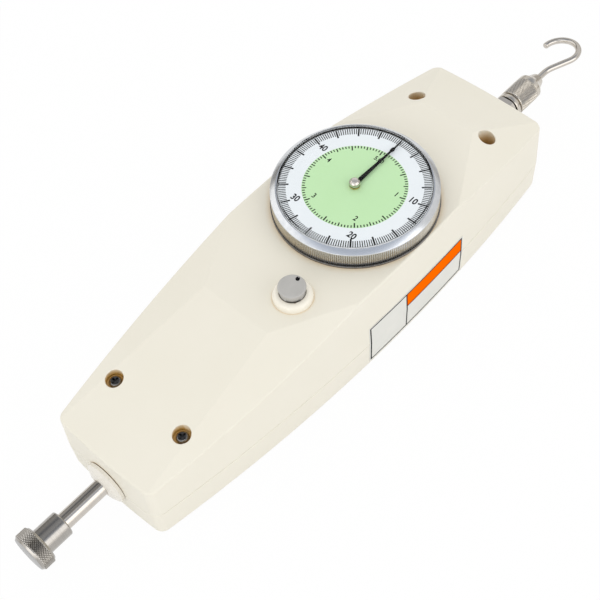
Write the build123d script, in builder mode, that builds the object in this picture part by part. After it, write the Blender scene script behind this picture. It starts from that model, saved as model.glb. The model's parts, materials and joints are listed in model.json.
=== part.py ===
from build123d import *
from math import acos, cos, pi, radians, sin, sqrt, tan
import os

# Push-pull force gauge. It lies on its flat back at z = 0. The origin is on the back, under the dial.
# +X runs along the measuring shaft to the hook, and +Z runs out of the dial. Millimetres.

# --- Case ---
case_push_x = -122.7          # middle of the push end, at the seam
case_hook_x = 76.9            # middle of the hook end, at the seam
end_radius = 268.0            # bow of both ends
case_half_width = 30.8        # at the seam, at its widest
widest_x = -10.8
side_radius = 690.0           # long curve of each side
corner_radius = 4.0
case_wall = 2.5
lid_draft = 1.7               # degrees
back_draft = 1.5
back_radius = 3.0
seam_z = 14.3                 # the shells part on the shaft's axis
seam_chamfer = 0.25           # the fine groove along the seam
crease_radius = 0.9
lip_thickness = 1.1           # tongue of the back shell inside the lid
lip_height = 1.6
lip_clearance = 0.15

# --- Facets of the lid: the plateau's corners and where the creases end ---
plateau_hook_length = 27.0    # from the hook end to the plateau
plateau_hook_half = 11.9
plateau_push_length = 63.3    # from the push end to the plateau
plateau_push_half = 14.3
hook_shoulder_length = 31.8   # from the plateau's corner along to where its crease meets the side
push_shoulder_length = 30.5
hook_end_drop = 8.3           # from the plateau down to the end face
push_end_drop = 12.1
hook_crease_setback = (1.6, 3.6)
push_crease_setback = (0.6, 1.5)

# --- Case screws in their wells, all on one level under the sloping facets ---
hook_well_setback = 24.0      # from the end of the case
hook_well_y = 16.0
push_well_setback = 22.1
push_well_y = 15.6
well_radius = 3.1
well_rim_round = 0.3
well_wall = 2.0
screw_seat_drop = 10.9        # from the plateau down to the seats
screw_radius = 1.25
screw_hole_radius = 1.45
screw_head_radius = 2.1
screw_head_height = 1.5
screw_floor_gap = 2.5         # from the floor up to the screw's tip
thread_clearance = 0.05
insert_wall = 1.2
insert_seat_clearance = 0.03
head_edge_share = 0.6         # of a screw head's height, where its dome starts
head_crown_share = 0.7        # of its radius, where the dome turns flat
tip_share = 0.7               # of a screw's radius, at its tip
recess_span_share = 1.25      # of the head's radius, across the recess
recess_width_share = 0.3
recess_depth_share = 0.75

# --- Rear M4 inserts, for a test stand ---
stand_pitch_x = 80.0
stand_pitch_y = 30.0
stand_hole_radius = 1.65
stand_insert_radius = 3.0
stand_insert_length = 8.0
stand_boss_wall = 1.6
stand_boss_cap = 1.25
blind_floor = 1.0             # left under the blind holes
blind_gap = 0.3

# --- Measuring shaft and its bushings ---
shaft_radius = 3.0
shaft_travel = 10.0
bush_barrel_radius = 6.0
bush_flange_radius = 8.0
bush_flange_edge = 1.2        # thickness of the domed flange at its rim
bush_dome = 2.8               # and at the shaft
bush_dome_share = 0.7         # how far the dome has risen half-way in
bush_inner_flange = 1.6
bush_inner_gap = 0.45         # room for the wall's bow and draft
bush_seat_clearance = 0.1
running_clearance = 0.05
shaft_chamfer = 0.5

# --- Push pad ---
sleeve_gap = 6.2              # from the bushing to the sleeve, pressed right in
sleeve_radius = 4.6
sleeve_length = 9.1
sleeve_round = 0.6
pad_radius = 7.0
pad_thickness = 5.4
pad_socket_depth = 2.0
pad_chamfer = 0.7

# --- Hook, its holder and the lock nut ---
lock_nut_gap = 5.9            # from the bushing
lock_nut_flats = 10.0
lock_nut_length = 3.4
lock_nut_chamfer = 0.6
lock_nut_bevel = 0.3
holder_gap = 0.7              # from the lock nut
holder_radius = 5.2
holder_grip_length = 14.5
holder_shoulder_length = 2.0
holder_cone_radius = 3.7
holder_cone_length = 3.1
holder_nose_radius = 2.5
holder_bore_clearance = 0.06
holder_thread_length = 11.3
holder_web = 2.0
holder_drill_point = 1.0
holder_groove_setback = 1.8
holder_groove_width = 0.9
holder_groove_depth = 0.8
hook_wire_radius = 1.25
hook_bend_radius = 11.0
hook_reach = 18.6             # from the holder's nose to the middle of the bowl
bowl_offset = 2.3
bowl_radius = 7.2
bowl_start = -115.0
bowl_sweep = 208.0
hook_lie = -10.0              # degrees that the hook's plane is turned about the shaft
hook_tip_round = 0.8

# --- Main spring, its collar and bracket ---
spring_mean_radius = 6.2
spring_wire_radius = 0.8
spring_turns = 6.0
collar_x = -95.0
collar_length = 3.0
collar_lap = 0.4              # the collar's edge beyond the spring
bracket_x = -52.0
bracket_thickness = 2.6
bracket_half_width = 10.0
bracket_rise = 9.7            # above the shaft's axis
bracket_foot_length = 8.0
bracket_pad_height = 2.1
bracket_screw_y = 6.5

# --- Rack on its carrier ---
carrier_gap = 0.3             # from the bracket to the carrier, at rest
carrier_length = 10.0
carrier_half_width = 9.0
carrier_drop = 5.0            # below the shaft's axis
carrier_chamfer = 2.25
rack_gap = 0.6                # above the bridge
rack_face_width = 4.0
rack_back_width = 3.73        # behind the teeth's roots
rack_lead = 2.15              # beyond the arbor
rack_tooth_count = 10
guide_pin_radius = 1.5
guide_pin_y = 5.0
guide_pin_seat = 2.5
guide_clearance = 0.08

# --- Gears: module 0.5, stub teeth ---
module = 0.5
pressure_angle = 20.0
addendum = 0.4
dedendum = 0.52
backlash = 0.12
tooth_sink = 0.1              # a tooth's foot inside its rim
rack_pinion_teeth = 15
drive_gear_teeth = 33
pointer_pinion_teeth = 14
gear_gap = 4.0                # above the rack
gear_thickness = 1.5
gear_spokes = 5
gear_spoke_half = 0.55
gear_rim = 1.3
gear_hub_radius = 2.2
pinion_overhang = 0.25
arbor_radius = 0.8
arbor_collar_radius = 1.6
spindle_radius = 0.8
pivot_clearance = 0.04
pivot_bush_radius = 1.8
press_clearance = 0.01
radius_match = 0.01           # how near a circle's radius must be to be picked by it

# --- Movement plates ---
plate_gap = 1.2               # above the hairspring
plate_thickness = 2.0
plate_hook_x = 31.0
plate_push_x = -67.5
plate_half_width = 21.5
standoff_inset_x = 4.5
standoff_inset_y = 4.0
standoff_radius = 3.0
standoff_boss_height = 3.5
standoff_boss_wall = 1.2
standoff_stud_length = 3.0
plate_screw_radius = 1.5
plate_screw_length = 3.0
plate_screw_head_radius = 2.75
plate_screw_head_height = 1.8
foot_screw_head_height = 0.9
bridge_gap = 0.6              # above the shaft
bridge_thickness = 1.5
bridge_push_x = -26.0
bridge_hook_x = 8.5
bridge_half_width = 10.5
pillar_radius = 2.0
pillar_inset_x = 3.5
pillar_inset_y = 2.5
pillar_screw_radius = 0.8
pillar_screw_length = 4.0
pillar_screw_head_radius = 1.5
pillar_screw_head_height = 0.9
pillar_spigot_radius = 1.2

# --- Hairspring ---
hairspring_gap = 1.5          # above the gears
hairspring_height = 0.8
hairspring_thickness = 0.25
hairspring_inner_radius = 2.3
hairspring_pitch = 0.9
hairspring_turns = 4
collet_radius = 1.8
stud_radius = 0.7

# --- Bezel, dial and crystal ---
dial_radius = 26.4
dial_thickness = 0.8
dial_hole_radius = 1.4
dial_gap = 1.5                # above the seat
dial_ledge = 0.5
rim_clearance = 0.1
bezel_wall = 2.5              # outside the crystal
bezel_lip_wall = 0.6
bezel_lip_height = 0.7        # above the dial
bezel_cone_height = 1.2
bezel_gap = 0.8               # above the plateau
seat_clearance = 0.3
seat_wall = 4.6
seat_height = 4.9
snap_ring_height = 2.9        # above the plateau
snap_ring_wire_radius = 0.5
snap_ring_opening = 15.0      # degrees
snap_groove_clearance = 0.25
seal_width = 0.7
seal_height = 0.35
crystal_rim_height = 2.0      # above the dial
crystal_rise = 3.1
crystal_thickness = 1.1
seat_screw_count = 3
seat_screw_radius = 1.0
seat_screw_head_radius = 1.7
seat_screw_head_height = 1.0
spindle_hole_radius = 4.0

# --- Pointer ---
pointer_gap = 0.85            # above the dial
pointer_thickness = 0.3
pointer_margin = 2.1          # from its tip to the dial's edge
pointer_root_half = 0.85
pointer_tip_half = 0.18
hub_radius = 1.9
hub_base_radius = 1.5
hub_height = 2.05
hub_round = 0.5

# --- Mode knob and peak hold ---
knob_x = -43.7
knob_y = -11.1
knob_room = 4.2               # from the movement plate to the lid
knob_radius = 5.0
knob_foot_radius = 4.3
knob_height = 3.6
knob_foot_height = 1.7
knob_round = 0.6
knob_rim = 1.0
knob_dish = 0.5
knob_travel = 1.2
knob_collar_wall = 2.2
knob_collar_floor = 1.3       # above the plateau
knob_collar_depth = 1.6
knob_collar_round = 1.9
knob_ring_clearance = 0.3
knob_neck_radius = 2.4
knob_stem_radius = 4.3
knob_stem_drop = 0.5          # below the lid
knob_spindle_radius = 1.5
knob_spindle_overhang = 0.6
washer_radius = 3.6
washer_thickness = 0.8
washer_gap = 0.2
reset_spring_radius = 2.7
reset_spring_wire = 0.35
reset_spring_turns = 3.0
cam_lead = 0.8                # below the pawl
cam_thickness = 4.0
cam_radius = 2.6
cam_throw = 1.4
pawl_pivot_x = -56.0
pawl_pivot_y = -17.2
pawl_thickness = 2.0
pawl_half_width = 1.2
pawl_tip_x = -35.0
pawl_swing = 6.0              # degrees
pawl_cam_gap = 0.35
pawl_tip_gap = 0.25
pawl_post_radius = 1.6
pawl_flange_radius = 3.2
pawl_flange_thickness = 1.5
pawl_rivet_radius = 0.8
pawl_finger_lift = 1.0        # above the rack's underside
hold_tooth_pitch = 1.0
hold_tooth_land = 0.1
hold_tooth_depth = 0.5

# --- Heights, stacked from the shaft's axis up to the crystal ---
floor_z = case_wall
shaft_top_z = seam_z + shaft_radius
bridge_z = shaft_top_z + bridge_gap
bridge_top_z = bridge_z + bridge_thickness
rack_z = bridge_top_z + rack_gap
rack_top_z = rack_z + rack_face_width
gear_z = rack_top_z + gear_gap
hairspring_z = gear_z + gear_thickness + hairspring_gap
plate_z = hairspring_z + hairspring_height + plate_gap
plate_top_z = plate_z + plate_thickness
plateau_z = plate_top_z + knob_room + case_wall
lid_height = plateau_z - seam_z
seat_top_z = plateau_z + seat_height
snap_ring_z = plateau_z + snap_ring_height
bezel_bottom_z = plateau_z + bezel_gap
dial_seat_z = seat_top_z + dial_gap
dial_z = dial_seat_z + dial_thickness
bezel_lip_z = dial_z + bezel_lip_height
bezel_edge_z = bezel_lip_z - bezel_cone_height
seal_z = dial_z + seal_height
crystal_rim_z = dial_z + crystal_rim_height
crystal_apex_z = crystal_rim_z + crystal_rise
pointer_z = dial_z + pointer_gap
blade_top_z = pointer_z + pointer_thickness
hub_top_z = blade_top_z + hub_height
screw_seat_z = plateau_z - screw_seat_drop
screw_end_z = floor_z + screw_floor_gap
standoff_boss_z = floor_z + standoff_boss_height
foot_screw_z = blind_floor + blind_gap
stand_boss_z = stand_insert_length + stand_boss_cap
bracket_foot_z = floor_z + bracket_pad_height
bracket_foot_top_z = bracket_foot_z + bracket_thickness
bracket_top_z = seam_z + bracket_rise
carrier_bottom_z = seam_z - carrier_drop
guide_pin_z = rack_z - guide_pin_seat
knob_collar_floor_z = plateau_z + knob_collar_floor
knob_collar_top_z = knob_collar_floor_z + knob_collar_depth
knob_bottom_z = knob_collar_floor_z + knob_travel + rim_clearance
knob_top_z = knob_bottom_z + knob_height
knob_stem_end_z = plateau_z - case_wall - knob_stem_drop
spindle_shoulder_z = knob_stem_end_z - washer_gap
washer_z = spindle_shoulder_z - washer_thickness
pawl_z = gear_z
cam_z = pawl_z - cam_lead
knob_spindle_end_z = cam_z - knob_spindle_overhang

# --- Stations along the shaft ---
sleeve_x = case_push_x - bush_dome - shaft_travel - sleeve_gap
pad_x = sleeve_x - sleeve_length
pad_face_x = pad_x - pad_thickness
shaft_push_x = pad_x - pad_socket_depth
lock_nut_x = case_hook_x + bush_dome + lock_nut_gap
lock_nut_end_x = lock_nut_x + lock_nut_length
holder_x = lock_nut_end_x + holder_gap
holder_shoulder_x = holder_x + holder_grip_length
holder_cone_x = holder_shoulder_x + holder_shoulder_length
holder_nose_x = holder_cone_x + holder_cone_length
shaft_hook_x = holder_x + holder_thread_length
hook_root_x = shaft_hook_x + holder_web
bowl_x = holder_nose_x + hook_reach
spring_push_x = collar_x + collar_length
spring_hook_x = bracket_x
bracket_face_x = bracket_x + bracket_thickness
bracket_end_x = bracket_face_x + bracket_foot_length
bracket_screw_x = bracket_face_x + bracket_foot_length / 2
carrier_x = bracket_face_x + carrier_gap
guide_x = carrier_x + carrier_length / 2
plateau_hook_x = case_hook_x - plateau_hook_length
plateau_push_x = case_push_x + plateau_push_length
hook_shoulder_x = plateau_hook_x - hook_shoulder_length
push_shoulder_x = plateau_push_x + push_shoulder_length
hook_end_z = plateau_z - hook_end_drop
push_end_z = plateau_z - push_end_drop

# --- Radii and centres that follow ---
shaft_bore = shaft_radius + running_clearance
collar_radius = spring_mean_radius + spring_wire_radius + collar_lap
crystal_bore = dial_radius + rim_clearance
bezel_radius = crystal_bore + bezel_wall
bezel_lip_radius = crystal_bore + bezel_lip_wall
bezel_bore_radius = dial_radius - dial_ledge
seat_radius = bezel_bore_radius - seat_clearance
seat_bore_radius = seat_radius - seat_wall
seat_screw_circle = (seat_radius + seat_bore_radius) / 2
snap_ring_radius = (seat_radius + bezel_bore_radius) / 2
pointer_reach = dial_radius - pointer_margin
well_boss_radius = well_radius + well_wall
screw_insert_radius = screw_radius + thread_clearance + insert_wall
stand_boss_radius = stand_insert_radius + stand_boss_wall
standoff_boss_radius = standoff_radius + standoff_boss_wall
knob_ring_bore = knob_foot_radius + knob_ring_clearance
knob_neck_bore = knob_neck_radius + knob_ring_clearance
knob_collar_radius = knob_ring_bore + knob_collar_wall
gear_centres = module * (drive_gear_teeth + pointer_pinion_teeth) / 2
arbor_x = -gear_centres
arbor_centre = (arbor_x, 0)
rack_end_x = arbor_x + rack_lead
rack_pitch_y = -module * rack_pinion_teeth / 2
rack_root_y = rack_pitch_y - dedendum
rack_back_y = rack_root_y - rack_back_width
knob_centre = (knob_x, knob_y)
pawl_pivot = (pawl_pivot_x, pawl_pivot_y)
hook_well_x = case_hook_x - hook_well_setback
push_well_x = case_push_x + push_well_setback
well_points = [
    (hook_well_x, hook_well_y), (hook_well_x, -hook_well_y),
    (push_well_x, push_well_y), (push_well_x, -push_well_y),
]
standoff_y = plate_half_width - standoff_inset_y
standoff_points = [
    (x, side * standoff_y)
    for x in (plate_hook_x - standoff_inset_x, plate_push_x + standoff_inset_x) for side in (1, -1)
]
pillar_y = bridge_half_width - pillar_inset_y
pillar_points = [
    (bridge_hook_x - pillar_inset_x, pillar_y), (bridge_hook_x - pillar_inset_x, -pillar_y),
    (bridge_push_x + pillar_inset_x, pillar_y),
]
bracket_screw_points = [(bracket_screw_x, bracket_screw_y), (bracket_screw_x, -bracket_screw_y)]

shaft_plane = Plane(origin=(0, 0, seam_z), x_dir=(1, 0, 0), z_dir=(0, -1, 0))
shaft_axis = Axis((0, 0, seam_z), (1, 0, 0))


def half_width(x):
    return case_half_width - side_radius + sqrt(side_radius**2 - (x - widest_x) ** 2)


def end_bow(x):
    return end_radius - sqrt(end_radius**2 - half_width(x) ** 2)


push_corner_x = case_push_x + end_bow(case_push_x)
hook_corner_x = case_hook_x - end_bow(case_hook_x)


def case_outline(inset=0.0):
    side_centre = side_radius - case_half_width
    with BuildSketch() as outline:
        with Locations((widest_x, -side_centre)):
            Circle(side_radius - inset)
        with Locations((widest_x, side_centre)):
            Circle(side_radius - inset, mode=Mode.INTERSECT)
        with Locations((case_push_x + end_radius, 0)):
            Circle(end_radius - inset, mode=Mode.INTERSECT)
        with Locations(Location((case_hook_x - end_radius, 0, 0), (0, 0, 180))):
            Circle(end_radius - inset, mode=Mode.INTERSECT)
        fillet(outline.vertices(), corner_radius - inset)
    return outline.sketch


def facet(first, second, third, inset):
    start = Vector(*first)
    normal = (Vector(*second) - start).cross(Vector(*third) - start)
    if normal.Z < 0:
        normal = -normal
    return Plane(origin=start, z_dir=normal).offset(-inset)


def lid_facets(inset):
    hook_end = (hook_corner_x - hook_crease_setback[0], half_width(hook_corner_x) - hook_crease_setback[1])
    push_end = (push_corner_x + push_crease_setback[0], half_width(push_corner_x) - push_crease_setback[1])
    hook_root = (plateau_hook_x, plateau_hook_half, plateau_z)
    push_root = (plateau_push_x, plateau_push_half, plateau_z)
    facets = [
        facet(hook_root, (plateau_hook_x, 0, plateau_z), (hook_end[0], 0, hook_end_z), inset),
        facet(push_root, (plateau_push_x, 0, plateau_z), (push_end[0], 0, push_end_z), inset),
    ]
    for side in (1, -1):
        facets.append(facet(
            (plateau_hook_x, side * plateau_hook_half, plateau_z),
            (hook_shoulder_x, side * half_width(hook_shoulder_x), plateau_z),
            (hook_end[0], side * hook_end[1], hook_end_z), inset))
        facets.append(facet(
            (plateau_push_x, side * plateau_push_half, plateau_z),
            (push_shoulder_x, side * half_width(push_shoulder_x), plateau_z),
            (push_end[0], side * push_end[1], push_end_z), inset))
    return facets


def lid_form(inset=0.0):
    with BuildPart() as form:
        with BuildSketch(Plane.XY.offset(seam_z)):
            add(case_outline(inset))
        extrude(amount=lid_height - inset, taper=lid_draft)
        for plane in lid_facets(inset):
            split(bisect_by=plane, keep=Keep.BOTTOM)
    return form.part


def turned_on_shaft(*points):
    # Half section in (x, radius), to revolve about the shaft's axis.
    with BuildSketch(shaft_plane) as profile:
        with BuildLine():
            Polyline(*points, close=True)
        make_face()
    return profile.sketch


def turned_upright(centre, *points):
    # Half section in (radius, z), to revolve about an upright axis through centre.
    with BuildSketch(Plane(origin=(*centre, 0), x_dir=(1, 0, 0), z_dir=(0, -1, 0))) as profile:
        with BuildLine():
            Polyline(*points, close=True)
        make_face()
    return profile.sketch


def upright_axis(centre):
    return Axis((*centre, 0), (0, 0, 1))


def disc(centre, radius, bottom, top, bore=0.0):
    # Closed section of a plain upright disc or tube, to revolve.
    return turned_upright(centre, (bore, bottom), (radius, bottom), (radius, top), (bore, top))


def screw(centre, seat, end, radius, head_radius, head_height):
    # Pan-head screw with a cross recess, its head above the seat.
    tip_radius = radius * tip_share
    top = seat + head_height
    with BuildPart() as body:
        revolve(turned_upright(
            centre, (0, end), (tip_radius, end), (radius, end + radius - tip_radius), (radius, seat),
            (head_radius, seat), (head_radius, seat + head_height * head_edge_share),
            (head_radius * head_crown_share, top), (0, top)), axis=upright_axis(centre))
        with BuildSketch(Plane.XY.offset(top)):
            with Locations(centre):
                for turn in (0, 90):
                    Rectangle(head_radius * recess_span_share, head_radius * recess_width_share, rotation=turn)
        extrude(amount=-head_height * recess_depth_share, mode=Mode.SUBTRACT)
    return body.part


def involute(angle):
    return tan(angle) - angle


def tooth_outline(teeth):
    pitch_radius = module * teeth / 2
    base_radius = pitch_radius * cos(radians(pressure_angle))
    half_tooth = (pi * module - backlash) / (4 * pitch_radius)
    root = pitch_radius - dedendum
    tip = pitch_radius + addendum
    flank = []
    for radius in (root - tooth_sink, root, pitch_radius - addendum / 2, pitch_radius, pitch_radius + addendum / 2, tip):
        roll = acos(min(1.0, base_radius / radius))
        turn = half_tooth + involute(radians(pressure_angle)) - involute(roll)
        flank.append((radius * cos(turn), radius * sin(turn)))
    return flank + [(x, -y) for x, y in reversed(flank)]


def gear_profile(centre, height, teeth, phase, bore):
    with BuildSketch(Plane.XY.offset(height)) as profile:
        with Locations(centre):
            Circle(module * teeth / 2 - dedendum)
            with PolarLocations(0, teeth, start_angle=phase):
                Polygon(*tooth_outline(teeth), align=None)
            Circle(bore, mode=Mode.SUBTRACT)
    return profile.sketch


def bushing(face_x, outward):
    # Domed flange outside the case, barrel through the wall, flange inside it.
    wall_x = face_x - outward * (case_wall + bush_inner_gap)
    inner_x = wall_x - outward * bush_inner_flange
    dome_x = face_x + outward * bush_dome
    rim_x = face_x + outward * bush_flange_edge
    mid_radius = (bush_flange_radius + shaft_bore) / 2
    mid_x = face_x + outward * (bush_flange_edge + (bush_dome - bush_flange_edge) * bush_dome_share)
    with BuildPart() as body:
        with BuildSketch(shaft_plane):
            with BuildLine():
                Polyline((dome_x, shaft_bore), (inner_x, shaft_bore), (inner_x, bush_flange_radius),
                         (wall_x, bush_flange_radius), (wall_x, bush_barrel_radius),
                         (face_x, bush_barrel_radius), (face_x, bush_flange_radius),
                         (rim_x, bush_flange_radius))
                ThreePointArc((rim_x, bush_flange_radius), (mid_x, mid_radius), (dome_x, shaft_bore))
            make_face()
        revolve(axis=shaft_axis)
    return body.part


os.makedirs("parts", exist_ok=True)


def save(body, name):
    body.label = name
    export_step(body, f"parts/{name}.step")


# --- Case shells ---
with BuildPart() as lid_core:
    add(lid_form(case_wall))
    with BuildSketch(Plane.XY.offset(seam_z)):
        with Locations(*well_points):
            Circle(well_boss_radius)
    extrude(amount=lid_height, mode=Mode.SUBTRACT)

with BuildPart() as top_case:
    add(lid_form())
    fillet(top_case.edges().filter_by(lambda e: e.bounding_box().min.Z > seam_z + case_wall), crease_radius)
    chamfer(top_case.faces().sort_by(Axis.Z)[0].edges(), seam_chamfer)
    add(lid_core.part, mode=Mode.SUBTRACT)
    with BuildSketch(Plane.XY.offset(seam_z)):
        add(case_outline(case_wall - lip_thickness - lip_clearance))
        add(case_outline(case_wall), mode=Mode.SUBTRACT)
    extrude(amount=lip_height + lip_clearance, mode=Mode.SUBTRACT)
    with BuildSketch(Plane.XY.offset(screw_seat_z)):
        with Locations(*well_points):
            Circle(well_radius)
    extrude(amount=lid_height, mode=Mode.SUBTRACT)
    fillet(top_case.edges(Select.LAST).filter_by(
        lambda e: e.bounding_box().min.Z > screw_seat_z + well_rim_round), well_rim_round)
    with BuildSketch(Plane.XY.offset(seam_z)):
        with Locations(*well_points):
            Circle(screw_hole_radius)
    extrude(amount=lid_height, mode=Mode.SUBTRACT)
    with BuildSketch(Plane.XY.offset(plateau_z)):
        Circle(spindle_hole_radius)
        with Locations((knob_x, knob_y)):
            Circle(knob_stem_radius + bush_seat_clearance)
        with PolarLocations(seat_screw_circle, seat_screw_count, start_angle=90):
            Circle(seat_screw_radius + thread_clearance)
    extrude(amount=-case_wall * 2, mode=Mode.SUBTRACT)
    with BuildSketch(Plane.YZ.offset(case_push_x - case_wall)):
        with Locations((0, seam_z)):
            Circle(bush_barrel_radius + bush_seat_clearance)
    extrude(amount=case_hook_x - case_push_x + 2 * case_wall, mode=Mode.SUBTRACT)
save(top_case.part, "top_case")

with BuildPart() as bottom_case:
    with BuildSketch(Plane.XY.offset(seam_z)):
        add(case_outline())
    extrude(amount=-seam_z, taper=back_draft)
    fillet(bottom_case.faces().sort_by(Axis.Z)[0].edges(), back_radius)
    chamfer(bottom_case.faces().sort_by(Axis.Z)[-1].edges(), seam_chamfer)
    with BuildSketch(Plane.XY.offset(seam_z)):
        add(case_outline(case_wall))
    extrude(amount=-(seam_z - floor_z), taper=back_draft, mode=Mode.SUBTRACT)
    with BuildSketch(Plane.XY.offset(seam_z)):
        add(case_outline(case_wall - lip_thickness))
        add(case_outline(case_wall), mode=Mode.SUBTRACT)
    extrude(amount=lip_height)
    with BuildSketch(Plane.XY.offset(floor_z)):
        with Locations(*well_points):
            Circle(well_boss_radius)
    extrude(amount=seam_z - floor_z)
    with BuildSketch(Plane.XY.offset(floor_z)):
        with Locations(*standoff_points):
            Circle(standoff_boss_radius)
    extrude(amount=standoff_boss_z - floor_z)
    with BuildSketch():
        with GridLocations(stand_pitch_x, stand_pitch_y, 2, 2):
            Circle(stand_boss_radius)
    extrude(amount=stand_boss_z)
    with BuildSketch(Plane.XY.offset(floor_z)):
        with Locations((bracket_screw_x, 0)):
            Rectangle(bracket_foot_length, 2 * bracket_half_width)
    extrude(amount=bracket_foot_z - floor_z)
    with BuildSketch(Plane.XY.offset(seam_z)):
        with Locations(*well_points):
            Circle(screw_insert_radius + insert_seat_clearance)
    extrude(amount=-(seam_z - floor_z), mode=Mode.SUBTRACT)
    with BuildSketch():
        with GridLocations(stand_pitch_x, stand_pitch_y, 2, 2):
            Circle(stand_insert_radius + insert_seat_clearance)
    extrude(amount=stand_insert_length, mode=Mode.SUBTRACT)
    with BuildSketch(Plane.XY.offset(standoff_boss_z)):
        with Locations(*standoff_points):
            Circle(plate_screw_radius + thread_clearance)
    extrude(amount=-(standoff_boss_z - blind_floor), mode=Mode.SUBTRACT)
    with BuildSketch(Plane.XY.offset(bracket_foot_z)):
        with Locations(*bracket_screw_points):
            Circle(plate_screw_radius + thread_clearance)
    extrude(amount=-(bracket_foot_z - blind_floor), mode=Mode.SUBTRACT)
    with BuildSketch(Plane.YZ.offset(case_push_x - case_wall)):
        with Locations((0, seam_z)):
            Circle(bush_barrel_radius + bush_seat_clearance)
    extrude(amount=3 * case_wall, mode=Mode.SUBTRACT)
    with BuildSketch(Plane.YZ.offset(case_hook_x + case_wall)):
        with Locations((0, seam_z)):
            Circle(bush_barrel_radius + bush_seat_clearance)
    extrude(amount=-3 * case_wall, mode=Mode.SUBTRACT)
save(bottom_case.part, "bottom_case")

with BuildPart() as case_screws:
    for point in well_points:
        add(screw(point, screw_seat_z, screw_end_z, screw_radius, screw_head_radius, screw_head_height))
save(case_screws.part, "case_screws")

with BuildPart() as case_inserts:
    for point in well_points:
        revolve(disc(point, screw_insert_radius, floor_z, seam_z, screw_radius + thread_clearance),
                axis=upright_axis(point))
save(case_inserts.part, "case_inserts")

with BuildPart() as stand_inserts:
    with BuildSketch():
        with GridLocations(stand_pitch_x, stand_pitch_y, 2, 2):
            Circle(stand_insert_radius)
            Circle(stand_hole_radius, mode=Mode.SUBTRACT)
    extrude(amount=stand_insert_length)
save(stand_inserts.part, "stand_inserts")

# --- Measuring shaft and what it carries ---
save(bushing(case_push_x, -1), "push_bushing")
save(bushing(case_hook_x, 1), "hook_bushing")

with BuildPart() as measuring_shaft:
    with BuildSketch(Plane.YZ.offset(shaft_push_x)):
        with Locations((0, seam_z)):
            Circle(shaft_radius)
    extrude(amount=shaft_hook_x - shaft_push_x)
    chamfer(measuring_shaft.edges().filter_by(GeomType.CIRCLE), shaft_chamfer)
save(measuring_shaft.part, "measuring_shaft")

with BuildPart() as push_pad:
    bore = shaft_radius + thread_clearance
    revolve(turned_on_shaft(
        (sleeve_x, bore), (sleeve_x, sleeve_radius), (pad_x, sleeve_radius), (pad_x, pad_radius),
        (pad_face_x, pad_radius), (pad_face_x, 0), (shaft_push_x, 0), (shaft_push_x, bore)), axis=shaft_axis)
    rims = push_pad.edges().filter_by(GeomType.CIRCLE)
    chamfer(rims.filter_by(lambda e: abs(e.radius - pad_radius) < radius_match), pad_chamfer)
    shoulder = push_pad.edges().filter_by(GeomType.CIRCLE).filter_by(
        lambda e: abs(e.radius - sleeve_radius) < radius_match).sort_by(Axis.X)[-1]
    fillet(shoulder, sleeve_round)
save(push_pad.part, "push_pad")

with BuildPart() as lock_nut:
    with BuildSketch(Plane.YZ.offset(lock_nut_x)):
        with Locations((0, seam_z)):
            RegularPolygon(lock_nut_flats / 2, 6, major_radius=False)
    extrude(amount=lock_nut_length)
    corner = lock_nut_flats / sqrt(3)
    revolve(turned_on_shaft(
        (lock_nut_x, 0), (lock_nut_x, corner - lock_nut_chamfer), (lock_nut_x + lock_nut_bevel, corner),
        (lock_nut_end_x - lock_nut_bevel, corner), (lock_nut_end_x, corner - lock_nut_chamfer),
        (lock_nut_end_x, 0)), axis=shaft_axis, mode=Mode.INTERSECT)
    with BuildSketch(Plane.YZ.offset(lock_nut_x)):
        with Locations((0, seam_z)):
            Circle(shaft_radius + thread_clearance)
    extrude(amount=lock_nut_length, mode=Mode.SUBTRACT)
save(lock_nut.part, "lock_nut")

with BuildPart() as hook_holder:
    bore = shaft_radius + holder_bore_clearance
    wire_bore = hook_wire_radius + holder_bore_clearance
    groove_x = holder_x + holder_groove_setback
    revolve(turned_on_shaft(
        (holder_x, bore), (holder_x, holder_radius), (groove_x, holder_radius),
        (groove_x, holder_radius - holder_groove_depth),
        (groove_x + holder_groove_width, holder_radius - holder_groove_depth),
        (groove_x + holder_groove_width, holder_radius), (holder_shoulder_x, holder_radius),
        (holder_cone_x, holder_cone_radius), (holder_nose_x, holder_nose_radius), (holder_nose_x, wire_bore),
        (hook_root_x, wire_bore), (hook_root_x - holder_drill_point, bore)), axis=shaft_axis)
save(hook_holder.part, "hook_holder")

hook_plane = Plane(origin=(0, 0, seam_z), x_dir=(1, 0, 0), z_dir=(0, 0, 1)).rotated((hook_lie, 0, 0))
with BuildPart() as hook:
    with BuildLine(hook_plane) as wire:
        bowl = CenterArc((bowl_x, bowl_offset), bowl_radius, bowl_start, bowl_sweep)
        start = radians(bowl_start)
        bowl_root = (bowl_x + bowl_radius * cos(start), bowl_offset + bowl_radius * sin(start))
        neck_x = bowl_root[0] - bowl_root[1] / tan(radians(bowl_start + 90))
        FilletPolyline((hook_root_x, 0), (neck_x, 0), bowl_root, radius=hook_bend_radius)
    with BuildSketch(Plane.YZ.offset(hook_root_x)):
        with Locations((0, seam_z)):
            Circle(hook_wire_radius)
    sweep(path=wire.wires()[0])
    tip = hook.faces().filter_by(GeomType.PLANE).sort_by(Axis.X)[-1]
    fillet(tip.edges(), hook_tip_round)
save(hook.part, "hook")

with BuildPart() as spring_collar:
    revolve(turned_on_shaft(
        (collar_x, shaft_bore), (collar_x, collar_radius), (spring_push_x, collar_radius),
        (spring_push_x, shaft_bore)), axis=shaft_axis)
save(spring_collar.part, "spring_collar")

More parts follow.
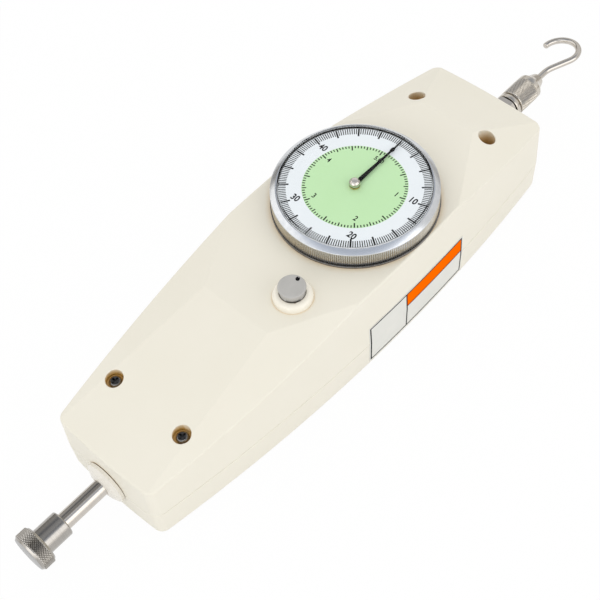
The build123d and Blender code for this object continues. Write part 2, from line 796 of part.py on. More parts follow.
with BuildPart() as main_spring:
    length = spring_hook_x - spring_push_x - 2 * spring_wire_radius
    start_x = spring_push_x + spring_wire_radius
    with BuildLine() as coil:
        Helix(pitch=length / spring_turns, height=length, radius=spring_mean_radius,
              center=(start_x, 0, seam_z), direction=(1, 0, 0))
    with BuildSketch(Plane(origin=coil.line @ 0, z_dir=coil.line % 0)):
        Circle(spring_wire_radius)
    sweep(path=coil.line, is_frenet=True)
save(main_spring.part, "main_spring")

with BuildPart() as spring_bracket:
    with BuildSketch(Plane.XZ.offset(-bracket_half_width)):
        with BuildLine():
            Polyline((bracket_x, bracket_foot_z), (bracket_end_x, bracket_foot_z),
                     (bracket_end_x, bracket_foot_top_z), (bracket_face_x, bracket_foot_top_z),
                     (bracket_face_x, bracket_top_z), (bracket_x, bracket_top_z), close=True)
        make_face()
    extrude(amount=2 * bracket_half_width)
    with BuildSketch(Plane.YZ.offset(bracket_x)):
        with Locations((0, seam_z)):
            Circle(shaft_radius + lip_clearance)
    extrude(amount=bracket_thickness, mode=Mode.SUBTRACT)
    with BuildSketch(Plane.XY.offset(bracket_foot_z)):
        with Locations(*bracket_screw_points):
            Circle(plate_screw_radius + lip_clearance)
    extrude(amount=bracket_thickness, mode=Mode.SUBTRACT)
save(spring_bracket.part, "spring_bracket")

# --- Rack and carrier ---
with BuildPart() as rack_carrier:
    with BuildSketch(Plane.XY.offset(carrier_bottom_z)):
        with Locations((guide_x, 0)):
            Rectangle(carrier_length, 2 * carrier_half_width)
    extrude(amount=rack_z - carrier_bottom_z)
    chamfer(rack_carrier.edges().filter_by(Axis.X).group_by(Axis.Z)[0], carrier_chamfer)
    with BuildSketch(Plane.YZ.offset(carrier_x)):
        with Locations((0, seam_z)):
            Circle(shaft_radius + press_clearance)
    extrude(amount=carrier_length, mode=Mode.SUBTRACT)
    with BuildSketch(Plane.XY.offset(rack_z)):
        with Locations((guide_x, guide_pin_y)):
            Circle(guide_pin_radius + press_clearance)
    extrude(amount=-guide_pin_seat, mode=Mode.SUBTRACT)
save(rack_carrier.part, "rack_carrier")

tooth_pitch = pi * module
hold_teeth_x = pawl_tip_x - shaft_travel - hold_tooth_pitch
hold_tooth_width = hold_tooth_pitch - hold_tooth_land
with BuildPart() as rack:
    with BuildSketch(Plane.XY.offset(rack_z)):
        with BuildLine():
            Polyline((carrier_x, rack_back_y), (rack_end_x, rack_back_y), (rack_end_x, rack_root_y),
                     (carrier_x, rack_root_y), close=True)
        make_face()
        half_root = (tooth_pitch - backlash) / 4 + dedendum * tan(radians(pressure_angle))
        half_tip = (tooth_pitch - backlash) / 4 - addendum * tan(radians(pressure_angle))
        tooth_height = dedendum + addendum
        for index in range(rack_tooth_count):
            tooth_x = arbor_x + tooth_pitch * (0.5 - index)
            with Locations((tooth_x, rack_root_y)):
                Polygon((-half_root, -tooth_sink), (half_root, -tooth_sink), (half_root, 0),
                        (half_tip, tooth_height), (-half_tip, tooth_height), (-half_root, 0), align=None)
        for index in range(int(shaft_travel / hold_tooth_pitch) + 2):
            with Locations((hold_teeth_x + index * hold_tooth_pitch, rack_back_y)):
                Polygon((0, 0), (hold_tooth_width, 0), (hold_tooth_width, -hold_tooth_depth), align=None)
    extrude(amount=rack_face_width)
save(rack.part, "rack")

with BuildPart() as guide_pin:
    guide_centre = (guide_x, guide_pin_y)
    revolve(disc(guide_centre, guide_pin_radius, guide_pin_z, plate_top_z),
            axis=upright_axis(guide_centre))
save(guide_pin.part, "guide_pin")

# --- Movement plates and posts ---
with BuildPart() as movement_plate:
    with BuildSketch(Plane.XY.offset(plate_z)):
        with Locations(((plate_hook_x + plate_push_x) / 2, 0)):
            RectangleRounded(plate_hook_x - plate_push_x, 2 * plate_half_width, standoff_radius)
        with Locations(*standoff_points):
            Circle(plate_screw_radius + lip_clearance, mode=Mode.SUBTRACT)
        with Locations(*pillar_points):
            Circle(pillar_screw_radius + lip_clearance, mode=Mode.SUBTRACT)
        with Locations((0, 0), arbor_centre):
            Circle(pivot_bush_radius + press_clearance, mode=Mode.SUBTRACT)
        with Locations((knob_x, knob_y)):
            Circle(knob_spindle_radius + lip_clearance, mode=Mode.SUBTRACT)
        with Locations(pawl_pivot):
            Circle(pawl_rivet_radius + press_clearance, mode=Mode.SUBTRACT)
        with Locations((guide_x + shaft_travel / 2, guide_pin_y)):
            SlotCenterToCenter(shaft_travel + guide_clearance, 2 * (guide_pin_radius + guide_clearance),
                               mode=Mode.SUBTRACT)
    extrude(amount=plate_thickness)
save(movement_plate.part, "movement_plate")

with BuildPart() as standoffs:
    stud_end = standoff_boss_z - standoff_stud_length
    thread_bore = plate_screw_radius + thread_clearance
    thread_end = plate_z - plate_screw_length - blind_gap
    for point in standoff_points:
        revolve(turned_upright(
            point, (0, stud_end), (plate_screw_radius, stud_end), (plate_screw_radius, standoff_boss_z),
            (standoff_radius, standoff_boss_z), (standoff_radius, plate_z), (thread_bore, plate_z),
            (thread_bore, thread_end), (0, thread_end)), axis=upright_axis(point))
save(standoffs.part, "standoffs")

with BuildPart() as plate_screws:
    for point in standoff_points:
        add(screw(point, plate_top_z, plate_z - plate_screw_length, plate_screw_radius,
                  plate_screw_head_radius, plate_screw_head_height))
    for point in bracket_screw_points:
        add(screw(point, bracket_foot_top_z, foot_screw_z, plate_screw_radius, plate_screw_head_radius,
                  foot_screw_head_height))
    for point in pillar_points:
        add(screw(point, plate_top_z, plate_z - pillar_screw_length, pillar_screw_radius,
                  pillar_screw_head_radius, pillar_screw_head_height))
save(plate_screws.part, "plate_screws")

with BuildPart() as bridge_plate:
    with BuildSketch(Plane.XY.offset(bridge_z)):
        with Locations(((bridge_hook_x + bridge_push_x) / 2, 0)):
            RectangleRounded(bridge_hook_x - bridge_push_x, 2 * bridge_half_width, pillar_radius)
        with Locations((0, 0), arbor_centre):
            Circle(pivot_bush_radius + press_clearance, mode=Mode.SUBTRACT)
        with Locations(*pillar_points):
            Circle(pillar_spigot_radius + press_clearance, mode=Mode.SUBTRACT)
    extrude(amount=bridge_thickness)
save(bridge_plate.part, "bridge_plate")

with BuildPart() as bridge_pillars:
    thread_bore = pillar_screw_radius + thread_clearance
    thread_end = plate_z - pillar_screw_length - blind_gap
    for point in pillar_points:
        revolve(turned_upright(
            point, (0, bridge_z), (pillar_spigot_radius, bridge_z), (pillar_spigot_radius, bridge_top_z),
            (pillar_radius, bridge_top_z), (pillar_radius, plate_z), (thread_bore, plate_z),
            (thread_bore, thread_end), (0, thread_end)), axis=upright_axis(point))
save(bridge_pillars.part, "bridge_pillars")

with BuildPart() as pivot_bushes:
    for bottom, top in ((bridge_z, bridge_top_z), (plate_z, plate_top_z)):
        for centre, radius in (((0, 0), spindle_radius), (arbor_centre, arbor_radius)):
            revolve(disc(centre, pivot_bush_radius, bottom, top, radius + pivot_clearance),
                    axis=upright_axis(centre))
save(pivot_bushes.part, "pivot_bushes")

# --- Gear train ---
with BuildPart() as gear_arbor:
    revolve(disc(arbor_centre, arbor_radius, bridge_z, plate_top_z), axis=upright_axis(arbor_centre))
    revolve(disc(arbor_centre, arbor_collar_radius, rack_top_z + pinion_overhang, gear_z),
            axis=upright_axis(arbor_centre))
save(gear_arbor.part, "gear_arbor")

with BuildPart() as rack_pinion:
    rack_phase = -90 % (360 / rack_pinion_teeth)
    extrude(gear_profile(arbor_centre, rack_z - pinion_overhang, rack_pinion_teeth, rack_phase,
                         arbor_radius + press_clearance), amount=rack_face_width + 2 * pinion_overhang)
save(rack_pinion.part, "rack_pinion")

with BuildPart() as drive_gear:
    extrude(gear_profile(arbor_centre, gear_z, drive_gear_teeth, 0, arbor_radius + press_clearance),
            amount=gear_thickness)
    rim_inner = module * drive_gear_teeth / 2 - dedendum - gear_rim
    with BuildSketch(Plane.XY.offset(gear_z)):
        with Locations(arbor_centre):
            Circle(rim_inner)
            with PolarLocations(rim_inner / 2, gear_spokes):
                Rectangle(rim_inner, 2 * gear_spoke_half, mode=Mode.SUBTRACT)
            Circle(gear_hub_radius, mode=Mode.SUBTRACT)
    extrude(amount=gear_thickness, mode=Mode.SUBTRACT)
save(drive_gear.part, "drive_gear")

with BuildPart() as pointer_pinion:
    mesh_phase = 180 / pointer_pinion_teeth * (1 - pointer_pinion_teeth % 2)
    extrude(gear_profile((0, 0), gear_z - pinion_overhang, pointer_pinion_teeth, mesh_phase,
                         spindle_radius + press_clearance), amount=gear_thickness + 2 * pinion_overhang)
save(pointer_pinion.part, "pointer_pinion")

with BuildPart() as pointer_spindle:
    revolve(turned_upright(
        (0, 0), (0, bridge_z), (spindle_radius, bridge_z), (spindle_radius, hairspring_z),
        (collet_radius, hairspring_z), (collet_radius, hairspring_z + hairspring_height),
        (spindle_radius, hairspring_z + hairspring_height), (spindle_radius, blade_top_z), (0, blade_top_z)),
        axis=Axis.Z)
save(pointer_spindle.part, "pointer_spindle")

with BuildPart() as hairspring:
    step = hairspring_pitch / 2
    with BuildSketch(Plane.XY.offset(hairspring_z)):
        with BuildLine():
            for half_turn in range(2 * hairspring_turns):
                odd = half_turn % 2
                CenterArc((odd * step, 0), hairspring_inner_radius + half_turn * step, 180 * odd, 180)
        trace(line_width=hairspring_thickness)
    extrude(amount=hairspring_height)
save(hairspring.part, "hairspring")

with BuildPart() as hairspring_stud:
    stud_centre = (hairspring_inner_radius + 2 * hairspring_turns * step + hairspring_thickness / 2 + stud_radius, 0)
    revolve(disc(stud_centre, stud_radius, hairspring_z, plate_z), axis=upright_axis(stud_centre))
save(hairspring_stud.part, "hairspring_stud")

# --- Bezel, dial and crystal ---
with BuildPart() as bezel_seat:
    ring_inner = snap_ring_radius - snap_ring_wire_radius - snap_groove_clearance
    groove_half = snap_ring_wire_radius + snap_groove_clearance / 2
    revolve(turned_upright(
        (0, 0), (seat_bore_radius, plateau_z), (seat_radius, plateau_z), (seat_radius, snap_ring_z - groove_half),
        (ring_inner, snap_ring_z - groove_half), (ring_inner, snap_ring_z + groove_half),
        (seat_radius, snap_ring_z + groove_half), (seat_radius, seat_top_z), (seat_bore_radius, seat_top_z)),
        axis=Axis.Z)
    with BuildSketch(Plane.XY.offset(seat_top_z)):
        with PolarLocations(seat_screw_circle, seat_screw_count, start_angle=90):
            Circle(seat_screw_head_radius + lip_clearance)
    extrude(amount=-seat_screw_head_height - lip_clearance, mode=Mode.SUBTRACT)
    with BuildSketch(Plane.XY.offset(seat_top_z)):
        with PolarLocations(seat_screw_circle, seat_screw_count, start_angle=90):
            Circle(seat_screw_radius + lip_clearance)
    extrude(amount=plateau_z - seat_top_z, mode=Mode.SUBTRACT)
save(bezel_seat.part, "bezel_seat")

with BuildPart() as seat_screws:
    seat_screw_z = seat_top_z - seat_screw_head_height - lip_clearance
    for index in range(seat_screw_count):
        angle = radians(90 + 360 / seat_screw_count * index)
        point = (seat_screw_circle * cos(angle), seat_screw_circle * sin(angle))
        add(screw(point, seat_screw_z, plateau_z - case_wall, seat_screw_radius, seat_screw_head_radius,
                  seat_screw_head_height))
save(seat_screws.part, "seat_screws")

with BuildPart() as snap_ring:
    ring_section = snap_ring_wire_radius
    revolve(turned_upright(
        (0, 0), *[(snap_ring_radius + ring_section * cos(pi / 4 * i + pi / 8),
                   snap_ring_z + ring_section * sin(pi / 4 * i + pi / 8)) for i in range(8)]),
        axis=Axis.Z, revolution_arc=360 - snap_ring_opening)
save(snap_ring.part, "snap_ring")

with BuildPart() as bezel:
    ring_outer = snap_ring_radius + snap_ring_wire_radius + snap_groove_clearance
    revolve(turned_upright(
        (0, 0), (bezel_bore_radius, bezel_bottom_z), (bezel_radius, bezel_bottom_z), (bezel_radius, bezel_edge_z),
        (bezel_lip_radius, bezel_lip_z), (crystal_bore, bezel_lip_z), (crystal_bore, dial_seat_z),
        (bezel_bore_radius, dial_seat_z), (bezel_bore_radius, snap_ring_z + groove_half),
        (ring_outer, snap_ring_z + groove_half), (ring_outer, snap_ring_z - groove_half),
        (bezel_bore_radius, snap_ring_z - groove_half)), axis=Axis.Z)
save(bezel.part, "bezel")

with BuildPart() as dial_plate:
    revolve(disc((0, 0), dial_radius, dial_seat_z, dial_z, dial_hole_radius), axis=Axis.Z)
save(dial_plate.part, "dial_plate")

with BuildPart() as crystal_seal:
    revolve(disc((0, 0), dial_radius, dial_z, seal_z, dial_radius - seal_width), axis=Axis.Z)
save(crystal_seal.part, "crystal_seal")

with BuildPart() as crystal:
    rim_inner = dial_radius - crystal_thickness
    with BuildSketch(Plane.XZ):
        dome = (dial_radius**2 + crystal_rise**2) / (2 * crystal_rise)
        dome_centre = crystal_apex_z - dome
        inner_dome = dome - crystal_thickness
        inner_rim_z = dome_centre + sqrt(inner_dome**2 - rim_inner**2)
        with BuildLine():
            Polyline((0, crystal_apex_z - crystal_thickness), (0, crystal_apex_z))
            RadiusArc((0, crystal_apex_z), (dial_radius, crystal_rim_z), dome)
            Polyline((dial_radius, crystal_rim_z), (dial_radius, seal_z), (rim_inner, seal_z), (rim_inner, inner_rim_z))
            RadiusArc((rim_inner, inner_rim_z), (0, crystal_apex_z - crystal_thickness), -inner_dome)
        make_face()
    revolve(axis=Axis.Z)
save(crystal.part, "crystal")

# --- Pointer ---
with BuildPart() as pointer:
    with BuildSketch(Plane.XY.offset(pointer_z)):
        Circle(hub_radius)
        Polygon((0, -pointer_root_half), (pointer_reach, -pointer_tip_half), (pointer_reach, pointer_tip_half),
                (0, pointer_root_half), align=None)
        Circle(spindle_radius + press_clearance, mode=Mode.SUBTRACT)
    extrude(amount=pointer_thickness)
save(pointer.part, "pointer")

with BuildPart() as pointer_boss:
    revolve(disc((0, 0), hub_base_radius, dial_z + rim_clearance, pointer_z, spindle_radius + press_clearance),
            axis=Axis.Z)
save(pointer_boss.part, "pointer_boss")

with BuildPart() as pointer_hub:
    revolve(turned_upright((0, 0), (0, blade_top_z), (hub_radius, blade_top_z), (hub_radius, hub_top_z - hub_round),
                           (hub_radius - hub_round, hub_top_z), (0, hub_top_z)), axis=Axis.Z)
save(pointer_hub.part, "pointer_hub")

# --- Mode knob ---
with BuildPart() as knob_collar:
    revolve(turned_upright(
        knob_centre, (knob_neck_bore, knob_stem_end_z), (knob_stem_radius, knob_stem_end_z),
        (knob_stem_radius, plateau_z), (knob_collar_radius, plateau_z), (knob_collar_radius, knob_collar_top_z),
        (knob_ring_bore, knob_collar_top_z), (knob_ring_bore, knob_collar_floor_z),
        (knob_neck_bore, knob_collar_floor_z)), axis=upright_axis(knob_centre))
    crown = knob_collar.edges().filter_by(GeomType.CIRCLE).filter_by(
        lambda e: abs(e.radius - knob_collar_radius) < radius_match).sort_by(Axis.Z)[-1]
    fillet(crown, knob_collar_round)
save(knob_collar.part, "knob_collar")

with BuildPart() as mode_knob:
    dish_radius = knob_radius - knob_rim
    revolve(turned_upright(
        knob_centre, (knob_spindle_radius + press_clearance, spindle_shoulder_z),
        (knob_neck_radius, spindle_shoulder_z), (knob_neck_radius, knob_bottom_z), (knob_foot_radius, knob_bottom_z),
        (knob_foot_radius, knob_bottom_z + knob_foot_height), (knob_radius, knob_top_z), (0, knob_top_z),
        (0, knob_bottom_z), (knob_spindle_radius + press_clearance, knob_bottom_z)), axis=upright_axis(knob_centre))
    crown = mode_knob.edges().filter_by(GeomType.CIRCLE).sort_by(Axis.Z)[-1]
    fillet(crown, knob_round)
    dish_curve = (dish_radius**2 + knob_dish**2) / (2 * knob_dish)
    with Locations((*knob_centre, knob_top_z - knob_dish + dish_curve)):
        Sphere(dish_curve, mode=Mode.SUBTRACT)
save(mode_knob.part, "mode_knob")

with BuildPart() as knob_spindle:
    revolve(disc(knob_centre, knob_spindle_radius, knob_spindle_end_z, knob_bottom_z),
            axis=upright_axis(knob_centre))
save(knob_spindle.part, "knob_spindle")

with BuildPart() as thrust_washer:
    revolve(disc(knob_centre, washer_radius, washer_z, spindle_shoulder_z, knob_spindle_radius + lip_clearance),
            axis=upright_axis(knob_centre))
save(thrust_washer.part, "thrust_washer")

with BuildPart() as reset_spring:
    reset_length = washer_z - plate_top_z - 2 * reset_spring_wire
    with BuildLine(Plane(origin=(*knob_centre, plate_top_z + reset_spring_wire))) as reset_coil:
        Helix(pitch=reset_length / reset_spring_turns, height=reset_length, radius=reset_spring_radius)
    with BuildSketch(Plane(origin=reset_coil.line @ 0, z_dir=reset_coil.line % 0)):
        Circle(reset_spring_wire)
    sweep(path=reset_coil.line, is_frenet=True)
save(reset_spring.part, "reset_spring")

with BuildPart() as hold_cam:
    with BuildSketch(Plane.XY.offset(cam_z)):
        with Locations((knob_x, knob_y - cam_throw)):
            Circle(cam_radius)
        with Locations(knob_centre):
            Circle(knob_spindle_radius + press_clearance, mode=Mode.SUBTRACT)
    extrude(amount=cam_thickness)
save(hold_cam.part, "hold_cam")

# --- Peak pawl: its inner edge rides on the cam, its finger hangs beside the rack's fine teeth ---
pawl_edge_y = knob_y - cam_throw - cam_radius - pawl_cam_gap
finger_swing = (pawl_tip_x - pawl_pivot_x) * sin(radians(pawl_swing))
finger_tip_y = rack_back_y - hold_tooth_depth - pawl_tip_gap - finger_swing
pawl_knee_x = knob_x + cam_radius + cam_throw
with BuildPart() as peak_pawl:
    with BuildSketch(Plane.XY.offset(pawl_z)):
        with Locations(pawl_pivot):
            Circle(pawl_post_radius + pawl_half_width)
        Polygon((pawl_pivot_x, pawl_pivot_y - pawl_half_width), (pawl_knee_x, pawl_edge_y - 2 * pawl_half_width),
                (pawl_tip_x, finger_tip_y - 2 * pawl_half_width), (pawl_tip_x, finger_tip_y),
                (pawl_tip_x - 2 * pawl_half_width, finger_tip_y), (pawl_knee_x, pawl_edge_y),
                (knob_x - cam_radius, pawl_edge_y), (pawl_pivot_x, pawl_pivot_y + pawl_half_width), align=None)
        with Locations(pawl_pivot):
            Circle(pawl_post_radius + pivot_clearance, mode=Mode.SUBTRACT)
    extrude(amount=pawl_thickness)
    with BuildSketch(Plane.XY.offset(rack_z + pawl_finger_lift)):
        with BuildLine():
            Polyline((pawl_tip_x, finger_tip_y - 2 * pawl_half_width), (pawl_tip_x, finger_tip_y),
                     (pawl_tip_x - 2 * pawl_half_width, finger_tip_y - pawl_half_width),
                     (pawl_tip_x - 2 * pawl_half_width, finger_tip_y - 2 * pawl_half_width), close=True)
        make_face()
    extrude(amount=pawl_z - rack_z - pawl_finger_lift)
save(peak_pawl.part, "peak_pawl")

with BuildPart() as pawl_post:
    flange_top = pawl_z - pivot_clearance
    flange_z = flange_top - pawl_flange_thickness
    revolve(turned_upright(
        pawl_pivot, (0, flange_z), (pawl_flange_radius, flange_z), (pawl_flange_radius, flange_top),
        (pawl_post_radius, flange_top), (pawl_post_radius, plate_z), (pawl_rivet_radius, plate_z),
        (pawl_rivet_radius, plate_top_z), (0, plate_top_z)), axis=upright_axis(pawl_pivot))
save(pawl_post.part, "pawl_post")
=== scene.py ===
import json
import math

import bmesh
import bpy
from mathutils import Matrix, Vector


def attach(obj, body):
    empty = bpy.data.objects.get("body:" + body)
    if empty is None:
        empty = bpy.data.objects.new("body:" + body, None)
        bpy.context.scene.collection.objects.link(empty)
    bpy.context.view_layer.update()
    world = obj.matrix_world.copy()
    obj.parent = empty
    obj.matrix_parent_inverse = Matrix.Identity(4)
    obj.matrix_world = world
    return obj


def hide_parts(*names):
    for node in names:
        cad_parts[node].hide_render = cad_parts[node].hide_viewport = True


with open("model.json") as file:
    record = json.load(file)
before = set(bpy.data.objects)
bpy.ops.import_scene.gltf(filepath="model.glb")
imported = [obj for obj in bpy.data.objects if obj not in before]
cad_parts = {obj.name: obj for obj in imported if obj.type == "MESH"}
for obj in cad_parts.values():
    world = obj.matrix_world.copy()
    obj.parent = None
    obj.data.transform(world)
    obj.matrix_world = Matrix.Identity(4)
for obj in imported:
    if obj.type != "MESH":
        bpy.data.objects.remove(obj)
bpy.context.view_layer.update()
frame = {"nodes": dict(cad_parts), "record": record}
mm = 0.001
cadNodes = frame["nodes"]
slotOf = {part["node"]: part["material_slot"] for part in frame["record"]["subparts"]}
print("stage: frame loaded,", len(cadNodes), "nodes")


# values shared by the shading helpers and the material builders
shading = {
    "flat": 0.2, "sharp": 30.0, "largeFaceWeight": 100, "joinGap": 1e-7,
    "cloudLow": 0.3, "cloudHigh": 0.7, "cloudRough": 0.55, "cornerSamples": 8, "roughSwing": 0.04,
    "plasticBend": 1.5,
    "paintedShadeFloor": 0.01, "paintedShadeFade": 0.008, "grooveLow": 0.35, "grooveHigh": 0.85,
    "paintedShadeEndFrom": -0.9, "paintedShadeEndTo": -0.98, "brushDepth": 0.00002,
}


def link(obj):
    bpy.context.scene.collection.objects.link(obj)
    return obj


def smooth(mesh, angle=shading["sharp"]):
    mesh.shade_smooth()
    mesh.set_sharp_from_angle(angle=math.radians(angle))
    return mesh


def flattened(mesh):
    # triangles of one plane become one face
    work = bmesh.new()
    work.from_mesh(mesh)
    bmesh.ops.dissolve_limit(work, angle_limit=math.radians(shading["flat"]), verts=work.verts,
                             edges=work.edges)
    work.to_mesh(mesh)
    work.free()
    return mesh


def weighed(mesh, name):
    # large faces lead the shading, so flat facets stay flat beside their rounds
    carrier = link(bpy.data.objects.new(name + "Seed", mesh))
    maker = carrier.modifiers.new("weigh", "WEIGHTED_NORMAL")
    maker.keep_sharp = True
    maker.weight = shading["largeFaceWeight"]
    ready = bpy.data.meshes.new_from_object(carrier.evaluated_get(bpy.context.evaluated_depsgraph_get()))
    bpy.data.objects.remove(carrier)
    ready.name = name
    return ready


def addPiece(name, mesh, body, material):
    piece = link(bpy.data.objects.new(name, mesh))
    mesh.materials.clear()
    mesh.materials.append(material)
    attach(piece, body)
    return piece


def meshFrom(name, points, faces):
    mesh = bpy.data.meshes.new(name)
    mesh.from_pydata(points, [], faces)
    mesh.update()
    return mesh


def tidyNormals(mesh, gap=shading["joinGap"]):
    work = bmesh.new()
    work.from_mesh(mesh)
    bmesh.ops.remove_doubles(work, verts=work.verts, dist=gap)
    bmesh.ops.recalc_face_normals(work, faces=work.faces)
    work.to_mesh(mesh)
    work.free()
    return mesh


def rounded(corners, steps=4):
    # corners are (radius, height, round); each round becomes a short arc
    path = []
    count = len(corners)
    for i, (r, h, cut) in enumerate(corners):
        here = Vector((r, h))
        if cut <= 0:
            path.append(here)
            continue
        before = (Vector(corners[i - 1][:2]) - here).normalized()
        after = (Vector(corners[(i + 1) % count][:2]) - here).normalized()
        half = before.angle(after) / 2
        reach = cut / math.tan(half)
        centre = here + (before + after).normalized() * cut / math.sin(half)
        first = here + before * reach - centre
        last = here + after * reach - centre
        turn = first.angle_signed(last)
        for s in range(steps + 1):
            a = -turn * s / steps
            path.append(centre + Matrix.Rotation(a, 2) @ first)
    return [(p.x, p.y) for p in path]


def turned(name, path, segments, along="z", centre=(0.0, 0.0, 0.0), closed=True):
    # path is (radius, height) in mm; spun about the axis through centre
    points, rings = [], []
    for r, h in path:
        ring = []
        sides = 1 if r < 1e-6 else segments
        for s in range(sides):
            a = math.tau * s / segments
            u, v = r * math.cos(a), r * math.sin(a)
            spot = (u, v, h) if along == "z" else (h, u, v)
            ring.append(len(points))
            points.append([(spot[i] + centre[i]) * mm for i in range(3)])
        rings.append(ring)
    faces = []
    pairs = list(zip(rings, rings[1:])) + ([(rings[-1], rings[0])] if closed else [])
    for low, high in pairs:
        if len(low) == 1 and len(high) == 1:
            continue
        for s in range(segments):
            t = (s + 1) % segments
            corner = [low[s % len(low)], low[t % len(low)], high[t % len(high)], high[s % len(high)]]
            face = [c for i, c in enumerate(corner) if c not in corner[:i]]
            if len(face) > 2:
                faces.append(face)
    return smooth(tidyNormals(meshFrom(name, points, faces)))


# a geometry-node tree with named sizes as its inputs
class NodeSketch:
    def __init__(self, name, sizes):
        self.tree = bpy.data.node_groups.new(name, "GeometryNodeTree")
        self.identifiers = {}
        for title, value in sizes.items():
            kind = "NodeSocketInt" if isinstance(value, int) else "NodeSocketFloat"
            socket = self.tree.interface.new_socket(name=title, in_out="INPUT", socket_type=kind)
            socket.default_value = value
            self.identifiers[title] = socket.identifier
        self.tree.interface.new_socket(name="Geometry", in_out="OUTPUT", socket_type="NodeSocketGeometry")
        self.given = self.tree.nodes.new("NodeGroupInput")
        self.result = self.tree.nodes.new("NodeGroupOutput")

    def size(self, title):
        return self.given.outputs[title]

    def feed(self, socket, value):
        if isinstance(value, bpy.types.NodeSocket):
            self.tree.links.new(value, socket)
        else:
            socket.default_value = value

    def add(self, kind, inputs=None, **settings):
        node = self.tree.nodes.new(kind)
        for key, value in settings.items():
            setattr(node, key, value)
        for socket, value in (inputs or {}).items():
            self.feed(node.inputs[socket], value)
        return node

    def math(self, operation, first, second=0.0):
        node = self.add("ShaderNodeMath", operation=operation)
        self.feed(node.inputs[0], first)
        self.feed(node.inputs[1], second)
        return node.outputs[0]

    def vector(self, x=0.0, y=0.0, z=0.0):
        return self.add("ShaderNodeCombineXYZ", {"X": x, "Y": y, "Z": z}).outputs[0]

    def finish(self, geometry):
        real = self.add("GeometryNodeRealizeInstances", {"Geometry": geometry})
        self.tree.links.new(real.outputs[0], self.result.inputs["Geometry"])


def grow(name, sketch, values, body, material):
    # runs the tree once and keeps its result as a plain mesh
    carrier = link(bpy.data.objects.new(name + "Seed", bpy.data.meshes.new(name + "Seed")))
    maker = carrier.modifiers.new("grow", "NODES")
    maker.node_group = sketch.tree
    for title, value in values.items():
        maker[sketch.identifiers[title]] = value
    ready = carrier.evaluated_get(bpy.context.evaluated_depsgraph_get())
    mesh = bpy.data.meshes.new_from_object(ready)
    mesh.name = name
    carrier.modifiers.remove(maker)
    bpy.data.objects.remove(carrier)
    return addPiece(name, mesh, body, material)


# material builders
def newMaterial(name):
    material = bpy.data.materials.new(name)
    material.use_nodes = True
    return material, material.node_tree, material.node_tree.nodes["Principled BSDF"]


def put(tree, kind, inputs=None, **settings):
    node = tree.nodes.new(kind)
    for key, value in settings.items():
        setattr(node, key, value)
    for socket, value in (inputs or {}).items():
        if isinstance(value, bpy.types.NodeSocket):
            tree.links.new(value, node.inputs[socket])
        else:
            node.inputs[socket].default_value = value
    return node


def noise(tree, scale, detail=4.0, stretch=(1.0, 1.0, 1.0)):
    where = put(tree, "ShaderNodeTexCoord")
    fit = put(tree, "ShaderNodeMapping", {"Vector": where.outputs["Object"], "Scale": stretch})
    return put(tree, "ShaderNodeTexNoise", {
        "Vector": fit.outputs[0], "Scale": scale, "Detail": detail, "Roughness": shading["cloudRough"]}).outputs[0]


def ranged(tree, value, low, high):
    # 0 at low and 1 at high
    return put(tree, "ShaderNodeMapRange", {"Value": value, "From Min": low, "From Max": high,
                                            "To Min": 0.0, "To Max": 1.0}).outputs[0]


def blendRange(tree, value, low, high):
    # spreads a noise, which seldom leaves its middle range, from low to high
    return put(tree, "ShaderNodeMapRange", {
        "Value": value, "From Min": shading["cloudLow"], "From Max": shading["cloudHigh"],
        "To Min": low, "To Max": high}).outputs[0]


def blendColour(tree, factor, first, second):
    mix = put(tree, "ShaderNodeMix", {"Factor": factor}, data_type="RGBA")
    for socket, value in ((mix.inputs[6], first), (mix.inputs[7], second)):
        if isinstance(value, bpy.types.NodeSocket):
            tree.links.new(value, socket)
        else:
            socket.default_value = (*value, 1.0)
    return mix.outputs[2]


def bumped(tree, shader, height, strength, depth):
    bump = put(tree, "ShaderNodeBump", {"Height": height, "Strength": strength, "Distance": depth})
    tree.links.new(bump.outputs[0], shader.inputs["Normal"])


def shelter(tree, reach):
    # 1 in the open, 0 deep in a corner or a hole
    return put(tree, "ShaderNodeAmbientOcclusion", {"Distance": reach},
               samples=shading["cornerSamples"]).outputs["AO"]


def plastic(name, look):
    material, tree, shader = newMaterial(name)
    cloud = noise(tree, look["cloudScale"], 3.0)
    body = blendColour(tree, blendRange(tree, cloud, 0.0, 1.0), look["colour"], look["tone"])
    if look.get("paintedShade"):
        # painted shade: ambient occlusion tints corners and holes amber, and dark brown deepest in, in place of
        # bounced light and shadow
        seen = shelter(tree, look["paintedShadeReach"])
        bare = ranged(tree, seen, look["paintedShadeLow"], look["paintedShadeHigh"])
        if look.get("paintedShadeFrom"):
            # none of it near the ground
            place = put(tree, "ShaderNodeTexCoord").outputs["Object"]
            spot = put(tree, "ShaderNodeSeparateXYZ", {"Vector": place})
            under = ranged(tree, spot.outputs["Z"], look["paintedShadeFrom"] + shading["paintedShadeFade"], look["paintedShadeFrom"])
            bare = put(tree, "ShaderNodeMath", {0: bare, 1: under}, operation="MAXIMUM").outputs[0]
        depth = ranged(tree, seen, shading["paintedShadeFloor"], look["paintedShadeLow"])
        paintedShade = blendColour(tree, depth, look["paintedDeepShade"], look["paintedShade"])
        body = blendColour(tree, bare, paintedShade, body)
    tree.links.new(body, shader.inputs["Base Color"])
    grain = noise(tree, look["grainScale"], 3.0)
    swing = shading["roughSwing"]
    tree.links.new(blendRange(tree, grain, look["rough"] - swing, look["rough"] + swing),
                   shader.inputs["Roughness"])
    bumped(tree, shader, grain, look["grain"], look["grainDepth"])
    shader.inputs["IOR"].default_value = shading["plasticBend"]
    shader.inputs["Specular IOR Level"].default_value = look.get("shine", 0.5)
    shader.inputs["Coat Weight"].default_value = look.get("coat", 0.0)
    shader.inputs["Coat Roughness"].default_value = look.get("coatRough", 0.1)
    return material


